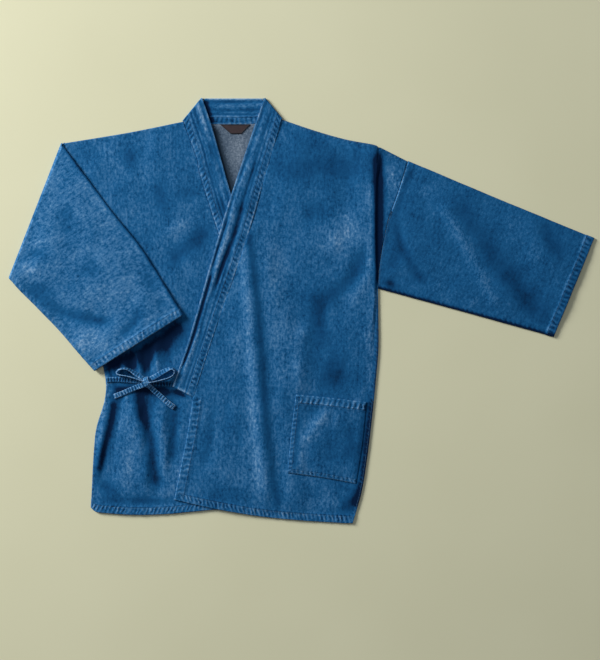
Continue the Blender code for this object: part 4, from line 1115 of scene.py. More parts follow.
class Shell:
    """A fine closed wall of cloth on its solid's form, kept by the name of its node."""

    def __init__(self, node, middle, above, below, ring=False):
        SHELLS[node] = self
        self.node = node
        self.shown = slice(None)
        self.normal = face_normals(middle, ring)
        rows, columns = middle.shape[:2]
        self.outer = middle + self.normal * np.broadcast_to(above, (rows, columns))[..., None]
        inner = middle - self.normal * np.broadcast_to(below, (rows, columns))[..., None]
        self.points = np.concatenate([self.outer.reshape(-1, 3), inner.reshape(-1, 3)])
        self.faces, self.outer_faces = grid_faces(rows, columns, ring)
        if signed_volume(self.points, self.faces) < 0:
            self.faces = self.faces[:, ::-1].copy()
        self.tree = tree_of(self.points, self.faces.tolist())

    def build(self, materials, grain, fade, marks):
        """The finished piece. Where there are two materials, the second is on its inner side."""
        made = placed(self.node + "_cloth", self.points, self.faces, materials)
        mesh = made.data
        size = self.outer.shape[:2]
        corners = np.empty(len(mesh.loops), dtype=np.int32)
        mesh.loops.foreach_get("vertex_index", corners)
        along, across, roping = (np.broadcast_to(values, size) for values in marks)
        for title, pair in (("cloth", grain), ("seam", paired(along, across))):
            both = np.concatenate([pair.reshape(-1, 2)] * 2)
            layer = mesh.uv_layers.new(name=title)
            layer.data.foreach_set("uv", both[corners].astype(np.float32).ravel())
        for title, values in (("fade", fade), ("roping", roping)):
            both = np.concatenate([np.broadcast_to(values, size).ravel()] * 2)
            layer = mesh.attributes.new(title, "FLOAT", "POINT")
            layer.data.foreach_set("value", both.astype(np.float32))
        if len(materials) > 1:
            index = np.zeros(len(mesh.polygons), dtype=np.int32)
            index[self.outer_faces : 2 * self.outer_faces] = 1
            mesh.polygons.foreach_set("material_index", index)
        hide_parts(self.node)
        return made

    def line(self, side, distance, skip):
        """Points and normals on the shown outer side, at a distance from one of its sides."""
        grids = []
        for grid in (self.outer[:, self.shown], self.normal[:, self.shown]):
            if side in ("left", "right"):
                grid = grid.transpose(1, 0, 2)
            if side in ("bottom", "right"):
                grid = grid[::-1]
            grids.append(grid[:, skip[0] : grid.shape[1] - skip[1]])
        steps = np.linalg.norm(np.diff(grids[0], axis=0), axis=2)
        away = np.pad(np.cumsum(steps, axis=0), ((1, 0), (0, 0)))
        columns = range(away.shape[1])
        return [np.array([sampled(distance, away[:, j], grid[:, j]) for j in columns]) for grid in grids]


def stitches(title, pitch=STITCH_PITCH, radius=STITCH_RADIUS):
    """Rows of thread: short raised stitches along lines on the cloth."""
    shares, lifts = np.array(STITCH_ARCH).T
    angles = np.arange(STITCH_SIDES) * 2 * np.pi / STITCH_SIDES
    size = len(shares) * STITCH_SIDES
    ring = np.arange(STITCH_SIDES)
    points, faces, total = [], [], 0
    for node, side, inset, skip in STITCH_LINES[title]:
        line, up = SHELLS[node].line(side, inset, skip)
        distance = travel(line)
        count = int(distance[-1] / pitch)
        at = (np.arange(count)[:, None] + shares) * pitch
        place, rise = sampled(at, distance, line), sampled(at, distance, up)
        rise /= np.linalg.norm(rise, axis=-1, keepdims=True)
        place = place + rise * lifts[None, :, None]
        way = place[:, -1:] - place[:, :1]
        way /= np.linalg.norm(way, axis=-1, keepdims=True)
        beside = np.cross(np.broadcast_to(way, rise.shape), rise)
        around = (
            place[:, :, None]
            + radius * np.cos(angles)[:, None] * beside[:, :, None]
            + radius * np.sin(angles)[:, None] * rise[:, :, None]
        )
        points.append(around.reshape(-1, 3))
        start = total + np.arange(count)[:, None, None] * size
        step = start + np.arange(len(shares) - 1)[None, :, None] * STITCH_SIDES
        a, b = step + ring, step + (ring + 1) % STITCH_SIDES
        faces.append(np.stack([a, b, b + STITCH_SIDES, a + STITCH_SIDES], axis=-1).reshape(-1, 4))
        total += count * size
    placed("stitches_" + title, np.vstack(points), np.vstack(faces), [THREAD])


def panel(node, plan, height, above, below, materials, fade):
    """The finished piece of a panel that lies flat."""
    shell = Shell(node, surface(plan, height), above, below)
    marks = seam_marks(plan, SEAMS[node])
    return shell.build(materials, turned(plan, GRAIN[node]), fade, marks)


def side_edge(armhole, side):
    return joined(edge(armhole, ROWS_ARMHOLE), edge(side, ROWS_SIDE, end=HEM_STATIONS))


def front_edge(band, opening):
    rest = ROWS_ARMHOLE + ROWS_SIDE - ROWS_BAND
    return joined(edge(band, ROWS_BAND), edge(opening, rest, end=HEM_STATIONS))


def back_edge(armhole, side, inset):
    """Every second station of a side edge, moved a little under the front."""
    line = side_edge(armhole, side)
    line = line + inset * sideways(line)
    return np.vstack([line[:-1:2], line[-1:]])


def front_rise(plan):
    """How much a front's hem and facing stand up, as in its solid."""
    facing = side_rise(plan, "left", FACING_WIDTH)
    facing[:ROWS_BAND] = 0.0
    return np.maximum(side_rise(plan, "bottom", HEM_WIDTH), facing)


def build_back():
    left = back_edge(ARMHOLE_RIGHT, SIDE_RIGHT, BACK_INSET)
    right = back_edge(ARMHOLE_LEFT, SIDE_LEFT, -BACK_INSET)
    lines = (SHOULDER_RIGHT[::-1], NECKLINE, SHOULDER_LEFT, SHOULDER_LEFT[-1:] + SHOULDER_LEFT_END)
    top = joined(*(edge(line, count) for line, count in zip(lines, BACK_TOP_COLUMNS)))
    top[0], top[-1] = left[0], right[0]
    bottom = edge(HEM_BACK, len(top) - 1)
    bottom[0], bottom[-1] = left[-1], right[-1]
    plan = patch(left, right, top, bottom)
    fade = BACK_CLOUDS * uneven(plan, SEEDS["back"], BACK_CLOUD_SPACING)
    fade = fade + strokes(plan, MARKS["back"], PAINTED_SHADING_AND_FADE)
    made = panel("back", plan, HALF, HALF, HALF, [REVERSE, DENIM], fade)


def build_front_right():
    left = front_edge(BAND_RIGHT_OUTER, EDGE_RIGHT)
    right = side_edge(ARMHOLE_RIGHT, SIDE_RIGHT)
    near = FACING_STATIONS[::2]
    bottom = joined(edge(HEM_RIGHT_HIDDEN, HIDDEN_COLUMNS, start=near), edge(HEM_RIGHT_SHOWN, SHOWN_COLUMNS))
    top = edge(SHOULDER_RIGHT, len(bottom) - 1 - len(near), start=near)
    plan = patch(left, right, top, bottom)
    rise = front_rise(plan)
    lowest = lowest_middle(plan, trees("back"), HALF)
    height = laid(creased("front_right", plan, rise), lowest, LAID_ROUNDS)
    height = puckered(height, plan, "front_right")
    fade = worn_and_painted_shading("front_right", plan)
    made = panel("front_right", plan, height, HALF + rise, HALF, [DENIM, REVERSE], fade)


def build_front_left():
    """The upper front: a flat panel, the pleat's rounded fold, and the layer under it to the side seam."""
    left = front_edge(BAND_LEFT_OUTER, EDGE_LEFT)
    right = side_edge(ARMHOLE_LEFT, SIDE_LEFT)
    places, *columns = np.array(PLEAT).T
    fold_x, rise, tuck = (np.interp(right[:, 1], places, column) for column in columns)
    inset = PLEAT_INSET * smoothstep(tuck / PLEAT_TUCKED)
    line = np.column_stack([fold_x - PLEAT_PITCH - inset, right[:, 1]])
    line[0] = (SHOULDER_LEFT_END[0][0] - PLEAT_PITCH, SHOULDER_LEFT_END[0][1] + PLEAT_TOP_RISE)
    pitches, tucked, level = np.array(PLEAT_SECTION).T
    last_x = fold_x + pitches[-1] * PLEAT_PITCH - tuck - inset
    under_fold = np.column_stack([0.5 * (last_x + right[:, 0]), right[:, 1]])[:, None]
    seat = filled(rays(SOLID["front_left"], under_fold, down=False))
    seat = eased(seat, SEAT_ROUNDS)[:, 0] + HALF
    top = edge(SHOULDER_LEFT + (tuple(line[0]),), FRONT_COLUMNS, start=FACING_STATIONS)
    bottom = edge(HEM_LEFT[:-1] + (tuple(line[-1]),), FRONT_COLUMNS, start=FACING_STATIONS)
    plan = patch(left, line, top, bottom)
    thick = front_rise(plan)
    lowest = lowest_middle(plan, trees("back", "front_right", "collar_right"), HALF)
    height = laid(creased("front_left", plan, thick), lowest, LAID_ROUNDS)
    lift = smoothstep(1 - edge_distance(plan, ("right",)) / PLEAT_REACH)
    height = height * (1 - lift) + lift * (seat + rise)[:, None]
    flat = surface(plan, puckered(height, plan, "front_left"))
    rows = []
    for i in range(len(right)):
        x = fold_x[i] + pitches * PLEAT_PITCH - tucked * tuck[i] - inset[i]
        section, distance = smooth_line(np.column_stack([x, seat[i] + rise[i] * level]))
        section = sampled(np.linspace(0.0, distance[-1], PLEAT_POINTS), distance, section)
        fold = np.column_stack([section[:, 0], np.full(PLEAT_POINTS, line[i, 1]), section[:, 1]])
        end = np.array((right[i, 0], right[i, 1], seat[i]))
        shares = np.linspace(0.0, 1.0, PLEAT_UNDER + 1)[1:, None]
        rows.append(np.vstack([flat[i, :-1], fold, fold[-1] + (end - fold[-1]) * shares]))
    middle = np.array(rows)
    whole = middle[..., :2]
    rise = side_rise(whole, "bottom", HEM_WIDTH)
    rise[:, : plan.shape[1]] = np.maximum(rise[:, : plan.shape[1]], thick)
    shell = Shell("front_left", middle, HALF + rise, HALF)
    # A paler facing edge: wear with a painted highlight.
    facing = FACING_WEAR_AND_HIGHLIGHT * bell(edge_distance(whole, ("left",)), EDGE_WIDTH)
    facing[:ROWS_BAND] = 0.0
    fade = worn_and_painted_shading("front_left", whole) + facing
    marks = seam_marks(whole, SEAMS["front_left"])
    made = shell.build([DENIM, REVERSE], turned(whole, GRAIN["front_left"]), fade, marks)


def band_profile(shares):
    """The height of a collar band's ridges and how much paler they are, at shares of its width: painted light
    on the ridges and edges, painted shade in the creases.
    """
    places, heights, paler_and_painted_shading = np.array(BAND_PROFILE).T
    return np.interp(shares, places, heights), np.interp(shares, places, paler_and_painted_shading)


def build_band(node, lines, below, way_in):
    """A collar band with its lengthwise ridges and its turn at the neck."""
    length = smooth_line(lines[0])[1][-1]
    outer, inner = (edge(line, int(length / BAND_SPACING)) for line in lines)
    inside = np.linspace(BAND_RIM, 1.0 - BAND_RIM, BAND_COLUMNS - 2)
    share = np.concatenate([[0.0], inside, [1.0]])
    inset = TURN_INSET * smoothstep(1 - lengthwise(outer) / TURN_INSET_REACH)
    inset = (inset / np.linalg.norm(inner - outer, axis=1))[:, None, None]
    shares = share[None, :, None] + (1 - share[None, :, None]) * inset
    plan = outer[:, None] * (1 - shares) + inner[:, None] * shares
    lowest = lowest_middle(plan, below, BAND_HALF)
    over = BAND_THICK + GAP + BAND_HALF
    ramp = smoothstep(1 - lengthwise(plan[:, 0])[:, None] / TURN_RAMP)
    height = eased(filled(rays(SOLID[node], plan)) - BAND_HALF, BAND_ROUNDS)
    height = laid(np.maximum(height, over * ramp), lowest, BAND_LAID_ROUNDS)
    height[0] = over
    ridges, paler_and_painted_shading = band_profile(share)
    along = lengthwise(plan[:, 0])[:, None] * length
    wander = uneven(plan, SEEDS[node], BAND_WANDER_SPACING)
    change = BAND_STRENGTH_CHANGE * uneven(plan, SEEDS[node] + 1, BAND_STRENGTH_SPACING)
    strength = (BAND_STRENGTH + change) * (1 - BAND_CALM * smoothstep(1 - along / BAND_CALM_REACH))
    relief = ridges * strength + MILLIMETRE * strokes(plan, MARKS[node], HEIGHT)
    wave = np.sin(2 * np.pi * along / BAND_PUCKER_PITCH + 2.0 * wander)
    relief = relief + BAND_PUCKER * bell(share - BAND_PUCKER_PLACE, BAND_PUCKER_WIDTH) * wave
    upper = surface(plan, height)
    radius = 0.5 * (over - BAND_HALF)
    turn = []
    for angle in np.linspace(0.0, np.pi, TURN_STEPS + 1)[:-1]:
        row = upper[0].copy()
        row[:, 2] = BAND_HALF + radius - radius * np.cos(angle)
        row[:, 0] -= way_in * radius * np.sin(angle)
        turn.append(row)
    leg = turn[0] + np.array((way_in * TURN_LEG, 0.0, 0.0))
    middle = np.array([leg] + turn + list(upper))
    plain = np.zeros((len(middle) - len(upper), BAND_COLUMNS))
    shell = Shell(node, middle, BAND_HALF + np.vstack([plain, np.maximum(relief, BAND_DEEPEST)]), BAND_HALF)
    stretched = paired(BAND_STREAK_STRETCH * BAND_WIDTH * share, along)
    streaks = BAND_STREAK_TONE * uneven(stretched, SEEDS[node] + 2, BAND_STREAK_SPACING)
    tone = BAND_WANDER_TONE * wander + streaks + strokes(plan, MARKS[node], PAINTED_SHADING_AND_FADE)
    fade = paler_and_painted_shading + np.vstack([plain, tone])
    grain = paired(share * BAND_WIDTH, np.concatenate([plain[:, 0], along[:, 0]])[:, None])
    made = shell.build([DENIM], grain, fade, seam_marks(middle[..., :2], SEAMS["band"]))


def build_collar_neck():
    lower = edge(NECKLINE, NECK_COLUMNS)
    upper = edge((BAND_RIGHT_INNER[0], BAND_LEFT_INNER[0]), NECK_COLUMNS)
    rows = np.linspace(0.0, 1.0, NECK_ROWS)
    plan = (1 - rows)[:, None, None] * lower + rows[:, None, None] * upper
    low, high = plan[..., :1, 0], plan[..., -1:, 0]
    share = (plan[..., 0] - low) / (high - low)
    inset = TURN_LEG + TURN_CLEARANCE
    plan[..., 0] = (low + inset) * (1 - share) + (high - inset) * share
    ridges, paler_and_painted_shading = band_profile(rows)
    seed = SEEDS["collar_neck"]
    above = BAND_HALF + ridges[:, None] + NECK_RELIEF * uneven(plan, seed, NECK_RELIEF_SPACING)
    shell = Shell("collar_neck", surface(plan, BAND_HALF), above, BAND_HALF)
    streaks = uneven(plan * np.array(NECK_STREAK_STRETCH), seed + 2, NECK_STREAK_SPACING)
    # The neck takes the band's painted light and shade, made stronger.
    fade = NECK_CONTRAST * paler_and_painted_shading[:, None] + NECK_STREAK_TONE * streaks
    fade = fade + strokes(plan, MARKS["collar_neck"], PAINTED_SHADING_AND_FADE)
    marks = seam_marks(plan, SEAMS["collar_neck"])
    made = shell.build([DENIM], plan[..., ::-1], fade, marks)


def rounded_ring(low_layer, high_layer):
    """One section of a flattened sleeve: a layer, a rounded edge, the other layer and its edge."""
    way = (low_layer[-1] - low_layer[0]) * np.array((1.0, 1.0, 0.0))
    way /= np.linalg.norm(way)
    angles = np.radians(np.linspace(-ROUND_ANGLE, ROUND_ANGLE, ROUND_POINTS))[:, None]

    def rounding(start, stop, outward):
        centre, half_step = 0.5 * (start + stop), 0.5 * (stop - start)
        reach = np.linalg.norm(half_step)
        return centre + outward * reach * np.cos(angles) + half_step * np.sin(angles)

    far = rounding(low_layer[-1], high_layer[-1], way)
    near = rounding(high_layer[0], low_layer[0], -way)
    return np.vstack([low_layer, far, high_layer[::-1], near])


def ring_values(low_values, high_values):
    """Values of a sleeve's two layers in the order of its sections."""
    far, near = (np.repeat(high_values[:, k][:, None], ROUND_POINTS, axis=1) for k in (-1, 0))
    return np.hstack([low_values, far, high_values[:, ::-1], near])


def sleeve_plan(top_points, under_points, root, start=()):
    """The plan of a layer from its root to the cuff, the sleeve's top on its left side."""
    top, under = (
        edge(points, SLEEVE_ROWS, start=start, end=HEM_STATIONS) for points in (top_points, under_points)
    )
    top[0], under[0] = root[0], root[-1]
    return patch(top, under, root, edge((top_points[-1], under_points[-1]), SLEEVE_COLUMNS))


def sleeve_maps(plan, node):
    """The grain and the seam marks of a sleeve's sections, alike on both layers."""
    values = (turned(plan, GRAIN[node]), *seam_marks(plan, SEAMS["sleeve"]))
    return [ring_values(value, value) for value in values]


def build_sleeve_left():
    root = edge(ARMHOLE_LEFT, SLEEVE_COLUMNS)
    root = root + ARMHOLE_CLEARANCE * sideways(root)
    plan = sleeve_plan(SLEEVE_LEFT_TOP, SLEEVE_LEFT_UNDER, root, start=SLEEVE_START)
    rise = side_rise(plan, "bottom", HEM_WIDTH)
    height = creased("sleeve_left", plan, rise)
    height = puckered(height, plan, "sleeve_left")
    height = laid(height, np.full(plan.shape[:2], HALF + CLOTH + TUBE_AIR), SPREAD_LAID_ROUNDS)
    layers = zip(surface(plan, HALF), surface(plan, height))
    rings = np.array([rounded_ring(low, high) for low, high in layers])
    above = HALF + ring_values(np.zeros_like(rise), rise)
    shell = Shell("sleeve_left", rings, above, HALF, ring=True)
    columns = plan.shape[1]
    shell.shown = slice(columns + ROUND_POINTS, 2 * columns + ROUND_POINTS)
    from_cuff = edge_distance(plan, ("bottom",))
    fade = worn_and_painted_shading("sleeve_left", plan)
    fade = fade - CUFF_DARKER * smoothstep((HEM_WIDTH - from_cuff) / CUFF_SOFT)
    fade = fade + CUFF_LINE * bell(from_cuff - HEM_WIDTH - CUFF_LINE_PLACE, EDGE_WIDTH)
    seam = SEAM_LINE * bell(edge_distance(plan, ("top",)), SEAM_LINE_WIDTH)
    seam = seam * smoothstep((plan[..., 1] - SEAM_LINE_END) / SEAM_LINE_REACH)
    grain, *marks = sleeve_maps(plan, "sleeve_left")
    made = shell.build([DENIM, REVERSE], grain, ring_values(fade, fade + seam), marks)


def build_sleeve_right():
    """The sleeve that is folded over the front: its root, the turn, and what lies on the front."""
    outside = edge(ARMHOLE_RIGHT, SLEEVE_COLUMNS)
    outside = outside - ARMHOLE_CLEARANCE * sideways(outside)
    thick = 2 * CLOTH + TUBE_AIR
    axis_height = thick + 0.5 * GAP
    fold_top, fold_low = np.array(FOLD_TOP), np.array(FOLD_LOW)
    way = (fold_low - fold_top) / np.linalg.norm(fold_low - fold_top)
    out = np.array((way[1], -way[0]))
    axis = edge((fold_top - axis_height * out, fold_low - axis_height * out), SLEEVE_COLUMNS)
    levels = (HALF, thick - HALF)
    rings = []
    for share in np.linspace(0.0, 1.0, FOLDED_ROOT_ROWS):
        row = outside * (1 - share) + axis * share
        rings.append(rounded_ring(*(surface(row, level) for level in levels)))
    for angle in np.linspace(0.0, np.pi, FOLDED_TURN_ROWS)[1:-1]:
        layers = []
        for level in levels:
            radius = axis_height - level
            row = axis + out * radius * np.sin(angle)
            layers.append(surface(row, axis_height - radius * np.cos(angle)))
        rings.append(rounded_ring(*layers))
    extra = len(rings)
    plan = sleeve_plan(FOLDED_TOP, FOLDED_UNDER, axis)
    corners = [(x, y, thick) for x, y in (outside[0], outside[-1], axis[-1], axis[0])]
    below = trees("back", "front_right") + [tree_of(np.array(corners), [(0, 1, 2, 3)])]
    lowest = lowest_middle(plan, below, HALF)
    lowest[0] = thick + GAP + HALF
    low = eased(lowest, UNDER_ROUNDS, lowest)
    rise = side_rise(plan, "bottom", HEM_WIDTH)
    height = creased("sleeve_right", plan, rise)
    height = puckered(height, plan, "sleeve_right")
    floor = low + CLOTH + TUBE_AIR
    height[0] = floor[0]
    height = laid(height, floor, LAID_ROUNDS)
    rings += [rounded_ring(*layers) for layers in zip(surface(plan, height), surface(plan, low))]
    plain = np.zeros((extra, rings[0].shape[0]))
    above = HALF + np.vstack([plain, ring_values(rise, np.zeros_like(rise))])
    shell = Shell("sleeve_right", np.array(rings), above, HALF, ring=True)
    shell.shown = slice(plan.shape[1])
    # painted light: the folded sleeve is made paler all over
    fade = worn_and_painted_shading("sleeve_right", plan) + FOLDED_PAINTED_LIGHT
    values = np.vstack([plain + ROOT_PALER, ring_values(fade, fade)])
    grain, *marks = sleeve_maps(plan, "sleeve_right")
    lead = paired(0.0, np.linspace(-ROOT_GRAIN, 0.0, extra))[:, None]
    grain = np.vstack([grain[:1] + lead, grain])
    marks = [np.vstack([plain + blank, m]) for m, blank in zip(marks, (0.0, NO_SEAM, 0.0))]
    made = shell.build([DENIM, REVERSE], grain, values, marks)


def build_pocket():
    sides = [edge(points, POCKET_ROWS, start=POCKET_STATIONS) for points in (POCKET_LEFT, POCKET_RIGHT)]
    plan = patch(*sides, edge(POCKET_TOP, POCKET_COLUMNS), edge(POCKET_LOW, POCKET_COLUMNS))
    lowest = lowest_middle(plan, trees("front_left"), HALF)
    inside = smoothstep(edge_distance(plan, ("left", "right", "bottom")) / POCKET_EDGE)
    height = eased(lowest, POCKET_ROUNDS, lowest) + POCKET_PUFF * inside
    height = height + POCKET_RUMPLE * inside * uneven(plan, SEEDS["pocket"], POCKET_RUMPLE_SPACING)
    height = height + MILLIMETRE * inside * strokes(plan, MARKS["pocket"], HEIGHT)
    height = np.maximum(puckered(height, plan, "pocket"), lowest)
    let_in = POCKET_LET_IN * smoothstep(1 - edge_distance(plan, ("right",)) / POCKET_LET_IN_WIDTH)
    thin_edge = edge_distance(plan, ("bottom", "left"))
    thinned = POCKET_THINNED * smoothstep(1 - thin_edge / POCKET_THINNED_WIDTH)
    above = HALF + side_rise(plan, "top", POCKET_HEM) - np.maximum(let_in, thinned)
    fade = worn_and_painted_shading("pocket", plan)
    made = panel("pocket", plan, height, above, HALF, [DENIM, REVERSE], fade)


def build_label():
    sides = [edge((LABEL_TOP[k], LABEL_LOW[k]), LABEL_ROWS) for k in (0, 1)]
    plan = patch(*sides, edge(LABEL_TOP, LABEL_COLUMNS), edge(LABEL_LOW, LABEL_COLUMNS))
    half = 0.5 * LABEL_THICK
    rim = LABEL_RIM - edge_distance(plan, ("left", "right", "bottom", "top"))
    above = half - LABEL_RISE + LABEL_RISE * smoothstep(rim / LABEL_RISE_WIDTH)
    fade = smoothstep(rim / LABEL_EDGE_WIDTH)
    height = lowest_middle(plan, trees("back"), half)
    made = panel("neck_label", plan, height, above, half, [LABEL], fade)


def strap_sections(places, below):
    """Fine sections of a strap through its places, laid on the shells underneath."""
    line = edge(places, LINE_STEPS * (len(places) - 1))
    side = sideways(line[:, :2])
    turn = np.clip(line[:, 3], -1.0, 1.0) * STRAP_STAND
    half_width, half = 0.5 * STRAP_WIDTH, 0.5 * STRAP_THICK
    flat, tall = np.cos(turn), np.abs(np.sin(turn))
    reach = side * (half_width * flat + half * tall)[:, None]
    spots = line[:, None, :2] + np.linspace(-1.0, 1.0, STRAP_SPOTS)[:, None] * reach[:, None]
    under = tops(spots, below).max(axis=1)[:, None]
    lowest = highest_near(highest_near(np.repeat(under, 2, axis=1))) + GAP
    height = eased(lowest, STRAP_ROUNDS, lowest)[:, 0] + (half_width * tall + half * flat) + line[:, 2]
    across = np.column_stack([side * flat[:, None], np.sin(turn)])
    shares = np.linspace(-1.0, 1.0, STRAP_POINTS) * half_width
    return surface(line[:, :2], height)[:, None] + shares[None, :, None] * across[:, None]


def out_of_knot(section):
    """How far a section of a strap is clear of the knot, below 0 inside it."""
    distances = []
    for point in (section[0], section[STRAP_POINTS // 2], section[-1]):
        place, normal, _, distance = SHELLS["tie_knot"].tree.find_nearest(Vector(point))
        distances.append(-distance if (Vector(point) - place).dot(normal) < 0 else distance)
    return min(distances)


def build_strap(node, places, below):
    """A flat stitched strap, as far as it is out of the knot. Its length is returned too."""
    sections = strap_sections(places, below)
    clear = np.flatnonzero(np.array([out_of_knot(section) for section in sections]) > -STRAP_IN_KNOT)
    middle = sections[clear[0] : clear[-1] + 1]
    share = np.abs(np.linspace(-1.0, 1.0, STRAP_POINTS))
    crown = STRAP_EDGE_SHARE + (1 - STRAP_EDGE_SHARE) * np.sqrt(1 - share**4)
    ridge = bell(share - STRAP_RIDGE_PLACE, STRAP_RIDGE_WIDTH)
    half = 0.5 * STRAP_THICK * (crown + STRAP_RIDGE_SHARE * ridge)
    distance = travel(middle[:, STRAP_POINTS // 2])[:, None]
    wave = STRAP_PUCKER * np.sin(2 * np.pi * distance / STRAP_PITCH)
    half = half + wave * bell(share - STRAP_PUCKER_PLACE, STRAP_PUCKER_WIDTH)
    shell = Shell(node, middle, half, half)
    grain = paired(np.linspace(0.0, STRAP_WIDTH, STRAP_POINTS), distance)
    # Worn pale edges; straps in the shade of the bow are darkened as painted shadow.
    fade = STRAP_EDGE_WEAR * bell(1 - share, STRAP_EDGE_WIDTH) + STRAP_PAINTED_SHADOW.get(node, STRAP_FADE_OTHER)
    if node.endswith("end"):
        fade = fade + STRAP_END_WEAR * smoothstep(1 - (distance[-1] - distance) / STRAP_END_REACH)
    roping = LOOP_ROPING if node.endswith("loop") else STRAP_ROPING
    marks = (distance / STRAP_PITCH, 1 - share, roping)
    return shell.build([DENIM], grain, fade, marks), distance[-1, 0]


def build_knot():
    """The knot: a lump with the strap's turns wound over it."""
    turn = KNOT["turn"]
    way = np.array((np.cos(turn), np.sin(turn), 0.0))
    side = np.array((-np.sin(turn), np.cos(turn), 0.0))
    up = np.array((0.0, 0.0, 1.0))
    spots = np.array([(KNOT["x"] + a, KNOT["y"] + b) for a in KNOT_SPOTS for b in KNOT_SPOTS])
    top = tops(spots, trees("back", "front_right")).max()
    centre = np.array((KNOT["x"], KNOT["y"], top + GAP + KNOT["tall"]))
    angle = np.linspace(KNOT_TIP, np.pi - KNOT_TIP, KNOT_RINGS)[:, None]
    around = (np.arange(KNOT_SIDES) * 2 * np.pi / KNOT_SIDES)[None, :]
    place = -np.cos(angle)
    from_middle = np.abs(place + KNOT_SLANT * np.sin(around))
    wrap = smoothstep((KNOT_WRAP - from_middle) / KNOT_WRAP_EDGE)
    lip = bell(from_middle - KNOT_LIP, KNOT_LIP_WIDTH)
    strands = 1 + KNOT_STRAND_RELIEF * np.cos(KNOT_STRANDS * around + 4 * place)
    size = KNOT_SHARES["core"] * strands + KNOT_SHARES["wrap"] * wrap + KNOT_SHARES["lip"] * lip
    size = np.sin(angle) ** KNOT_BLUNTNESS * size
    points = (
        centre
        + way * (KNOT["long"] * place * np.ones_like(around))[..., None]
        + side * (KNOT["across"] * size * np.cos(around))[..., None]
        + up * (KNOT["tall"] * size * np.sin(around))[..., None]
    )
    shell = Shell("tie_knot", points, 0.0, KNOT_WALL, ring=True)
    # The knot's ends, outside its wrap, are darkened as painted shade.
    fade = KNOT_FADE_AND_SHADE["core"] + KNOT_FADE_AND_SHADE["lip"] * lip
    fade = fade + KNOT_FADE_AND_SHADE["bars"] * np.cos(KNOT_BARS * place) * wrap + KNOT_FADE_AND_SHADE["ends"] * (1 - wrap)
    marks = (around / KNOT_ROPE_PITCH, np.abs(np.abs(place) - 0.5) * 2, KNOT_ROPING * wrap)
    grain = paired(around * KNOT_GRAIN[0], place * KNOT_GRAIN[1])
    return shell.build([DENIM], grain, fade, marks)


class Surface:
    """A material and its nodes."""

    def __init__(self, name, roughness, specular):
        self.material = bpy.data.materials.new(name)
        self.material.use_nodes = True
        self.nodes = self.material.node_tree.nodes
        self.links = self.material.node_tree.links
        self.shader = self.nodes["Principled BSDF"].inputs
        self.shader["Roughness"].default_value = roughness
        self.shader["Specular IOR Level"].default_value = specular

    def put(self, socket, value):
        if isinstance(value, bpy.types.NodeSocket):
            self.links.new(value, socket)
        else:
            socket.default_value = value

    def node(self, kind, inputs, output=0, **settings):
        made = self.nodes.new("ShaderNode" + kind)
        for title, value in settings.items():
            setattr(made, title, value)
        for title, value in inputs.items():
            self.put(made.inputs[title], value)
        return made.outputs[output]

    def math(self, operation, *values, clamp=False):
        return self.node("Math", dict(enumerate(values)), operation=operation, use_clamp=clamp)

    def product(self, first, *others):
        for value in others:
            first = self.math("MULTIPLY", first, value)
        return first

    def total(self, *terms):
        """The sum of values, each times its weight."""
        made = 0.0
        for value, weight in terms:
            made = self.math("MULTIPLY_ADD", value, weight, made)
        return made

    def bell(self, value, middle, width):
        """1 at a middle value, falling away softly over this width."""
        away = self.math("DIVIDE", self.math("SUBTRACT", value, middle), width)
        return self.math("EXPONENT", self.product(away, away, -1.0))

    def step(self, value, start, stop):
        """From 0 at the start value to 1 at the stop value, smoothly."""
        return self.node("MapRange", {"Value": value, 1: start, 2: stop}, interpolation_type="SMOOTHSTEP")

    def number(self, title):
        return self.node("Attribute", {}, output="Fac", attribute_name=title, attribute_type="GEOMETRY")

    def split(self, vector):
        """The first two coordinates of a vector."""
        parts = self.nodes.new("ShaderNodeSeparateXYZ")
        self.put(parts.inputs[0], vector)
        return parts.outputs[0], parts.outputs[1]

    def grain(self, across, along, offset=0.0):
        """Noise coordinates in a map of the cloth, its features this wide and long in metres."""
        cloth = self.node("UVMap", {}, uv_map="cloth")
        scale = (1.0 / across, 1.0 / along, 1.0)
        return self.node("Mapping", {"Vector": cloth, "Scale": scale, "Location": (offset, offset, 0.0)})

    def noise(self, across, along, detail, rough, offset):
        """Noise from about -1 to 1."""
        place = self.grain(across, along, offset)
        inputs = {"Vector": place, "Scale": 1.0, "Detail": detail, "Roughness": rough}
        found = self.node("TexNoise", inputs, output="Fac", noise_dimensions="2D")
        return self.math("MULTIPLY_ADD", found, NOISE_GAIN, -0.5 * NOISE_GAIN)

    def noises(self, table):
        return {name: self.noise(*values) for name, values in table.items()}

    def mixed(self, parts, weights):
        """The sum of named parts, each times its weight."""
        return self.total(*((parts[name], weight) for name, weight in weights.items()))

    def twill(self):
        """Fine slanting ribs of the weave, from -1 to 1."""
        slant = self.math("ADD", *self.split(self.grain(TWILL_PITCH, TWILL_PITCH)))
        return self.math("SINE", self.math("MULTIPLY", slant, 2 * np.pi))

    def ramp(self, factor, stops):
        made = self.nodes.new("ShaderNodeValToRGB")
        elements = made.color_ramp.elements
        while len(elements) < len(stops):
            elements.new(0.5)
        for element, (place, colour) in zip(elements, stops):
            element.position = place
            element.color = (*colour, 1.0)
        self.put(made.inputs[0], factor)
        return made.outputs[0]

    def colour(self, tone, shades, middle=0.5):
        """Shades by tone. The middle is the place in them of a tone of 0."""
        self.put(self.shader["Base Color"], self.ramp(self.math("ADD", tone, middle, clamp=True), shades))

    def bump(self, height, distance, strength):
        """Relief, over what relief the surface has already."""
        inputs = {"Height": height, "Distance": distance, "Strength": strength}
        for link in self.shader["Normal"].links:
            inputs["Normal"] = link.from_socket
        self.put(self.shader["Normal"], self.node("Bump", inputs))


